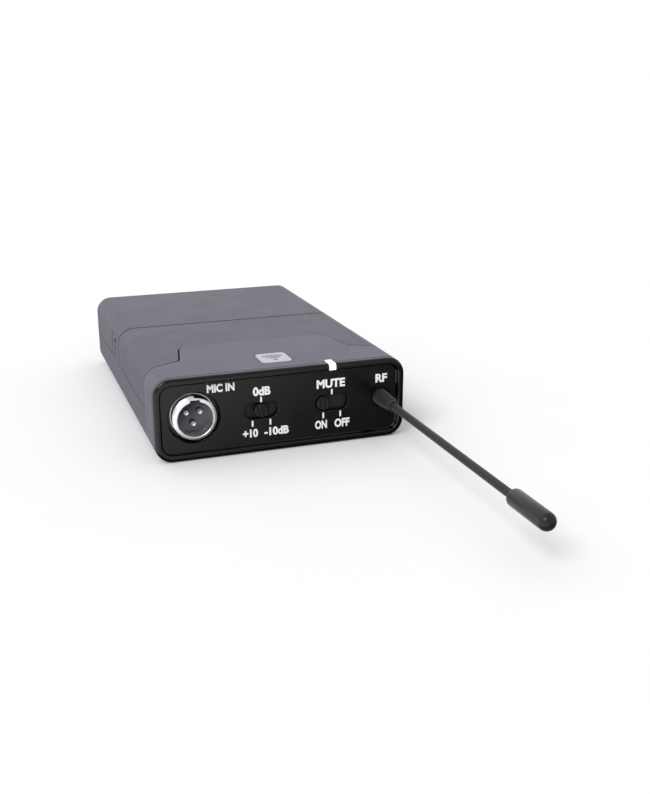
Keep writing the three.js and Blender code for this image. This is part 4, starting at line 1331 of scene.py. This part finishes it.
def dress_nodes():
    """Finishes for the nodes that are shown as they are."""
    finishes = {
        STEEL: ["door_hinge_pin", "clip_pin", "antenna_contact", "board_screw_left", "board_screw_right"],
        CONTACT_NICKEL: ["contact_bridge", "contact_positive", "contact_negative"],
        TIN: ["rf_shield_can", "crystal", "gain_switch", "power_switch"],
        DARK: ["socket_housing", "audio_chip", "reservoir_capacitor"],
        BLACK_AND_SHADE: ["battery_tray"],
        BOARD: ["main_board", "lamp_card"],
        GUIDE_LIGHT: ["status_lamp"],
        RED: ["lead_positive"],
        BLACK_WIRE: ["lead_negative"],
    }
    for material, names in finishes.items():
        for name in names:
            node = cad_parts[name]
            for place in node.material_slots:
                place.material = material


# ------------------------------------------------------------------ stage, light and camera


def floor():
    """A plain pale floor at the level that the case stands on."""
    reach = 60.0
    points = [(-reach, -reach, 0), (reach, -reach, 0), (reach, reach, 0), (-reach, reach, 0)]
    mesh = bpy.data.meshes.new("floor")
    mesh.from_pydata(points, [], [(0, 1, 2, 3)])
    thing = bpy.data.objects.new("floor", mesh)
    bpy.context.scene.collection.objects.link(thing)
    material, tree, shader = blank("matt_white_paper", IOR=1.45, Specular_IOR_Level=0.0)
    fibre = grain(tree, 40)
    coat(tree, shader, ("#f6f6f6", "#f8f8f8"), (1, 1), fibre)
    mesh.materials.append(material)
    thing.visible_glossy = False


def directed(tree, way, axis, seen, level):
    """Brightness that runs from one level to another along an axis."""
    along = add(tree, "ShaderNodeVectorMath", {0: way, 1: axis}, operation="DOT_PRODUCT")
    ends = {"From Min": seen[0], "From Max": seen[1], "To Min": level[0], "To Max": level[1]}
    reach = add(
        tree,
        "ShaderNodeMapRange",
        {"Value": along.outputs["Value"], **ends},
        interpolation_type="SMOOTHSTEP",
    )
    return reach.outputs["Result"]


def light_room():
    """A white room, brighter behind the pack and darker low on the right, and a soft lamp ahead on
    the left."""
    world = bpy.data.worlds.new("white_room")
    world.use_nodes = True
    tree = world.node_tree
    back = tree.nodes["Background"]
    way = add(tree, "ShaderNodeTexCoord").outputs["Generated"]
    above = directed(tree, way, (-0.5, 0.87, 0), (-0.4, 0.8), (0.6, 1.12))
    below = directed(tree, way, (1, 0.6, -1.5), (0.06, 0.26), (1.5, 0.03))
    behind = directed(tree, way, (0, 1, 0), (0, 0.8), (0, 0.5))
    lower = add(tree, "ShaderNodeMath", {0: below, 1: behind}, operation="ADD").outputs[0]
    horizon = directed(tree, way, (0, 0, 1), (-0.06, 0.02), (0, 1))
    level = add(tree, "ShaderNodeMix", {"Factor": horizon, "A": lower, "B": above})
    seen = add(tree, "ShaderNodeLightPath")
    strength = add(
        tree,
        "ShaderNodeMix",
        {"Factor": seen.outputs["Is Camera Ray"], "A": level.outputs["Result"], "B": 1.05},
    )
    tree.links.new(strength.outputs["Result"], back.inputs["Strength"])
    back.inputs["Color"].default_value = (1, 1, 1, 1)
    bpy.context.scene.world = world
    lamp = bpy.data.lights.new("key_light", "SUN")
    lamp.energy = 1.3
    lamp.angle = math.radians(30)
    thing = bpy.data.objects.new("key_light", lamp)
    bpy.context.scene.collection.objects.link(thing)
    thing.rotation_euler = Vector((0.58, 0.4, -0.71)).to_track_quat("-Z", "Y").to_euler()
    bpy.context.scene.view_settings.view_transform = "Standard"


def camera():
    """The camera stands ahead of the pack to its left and looks down on it."""
    data = bpy.data.cameras.new("camera")
    data.lens = 45.28
    data.sensor_width = 36
    data.clip_start = 0.01
    thing = bpy.data.objects.new("camera", data)
    bpy.context.scene.collection.objects.link(thing)
    place = PLACE @ Vector((-70.15, -225.80, 90.63))
    target = PLACE @ Vector((7.24, -11.22, 16.01))
    thing.location = place
    thing.rotation_euler = (target - place).to_track_quat("-Z", "Y").to_euler()
    bpy.context.scene.camera = thing


camera()
light_room()
floor()
build_case()
build_door()
build_panel()
build_socket()
build_antenna()
build_clip()
build_batteries()
dress_nodes()
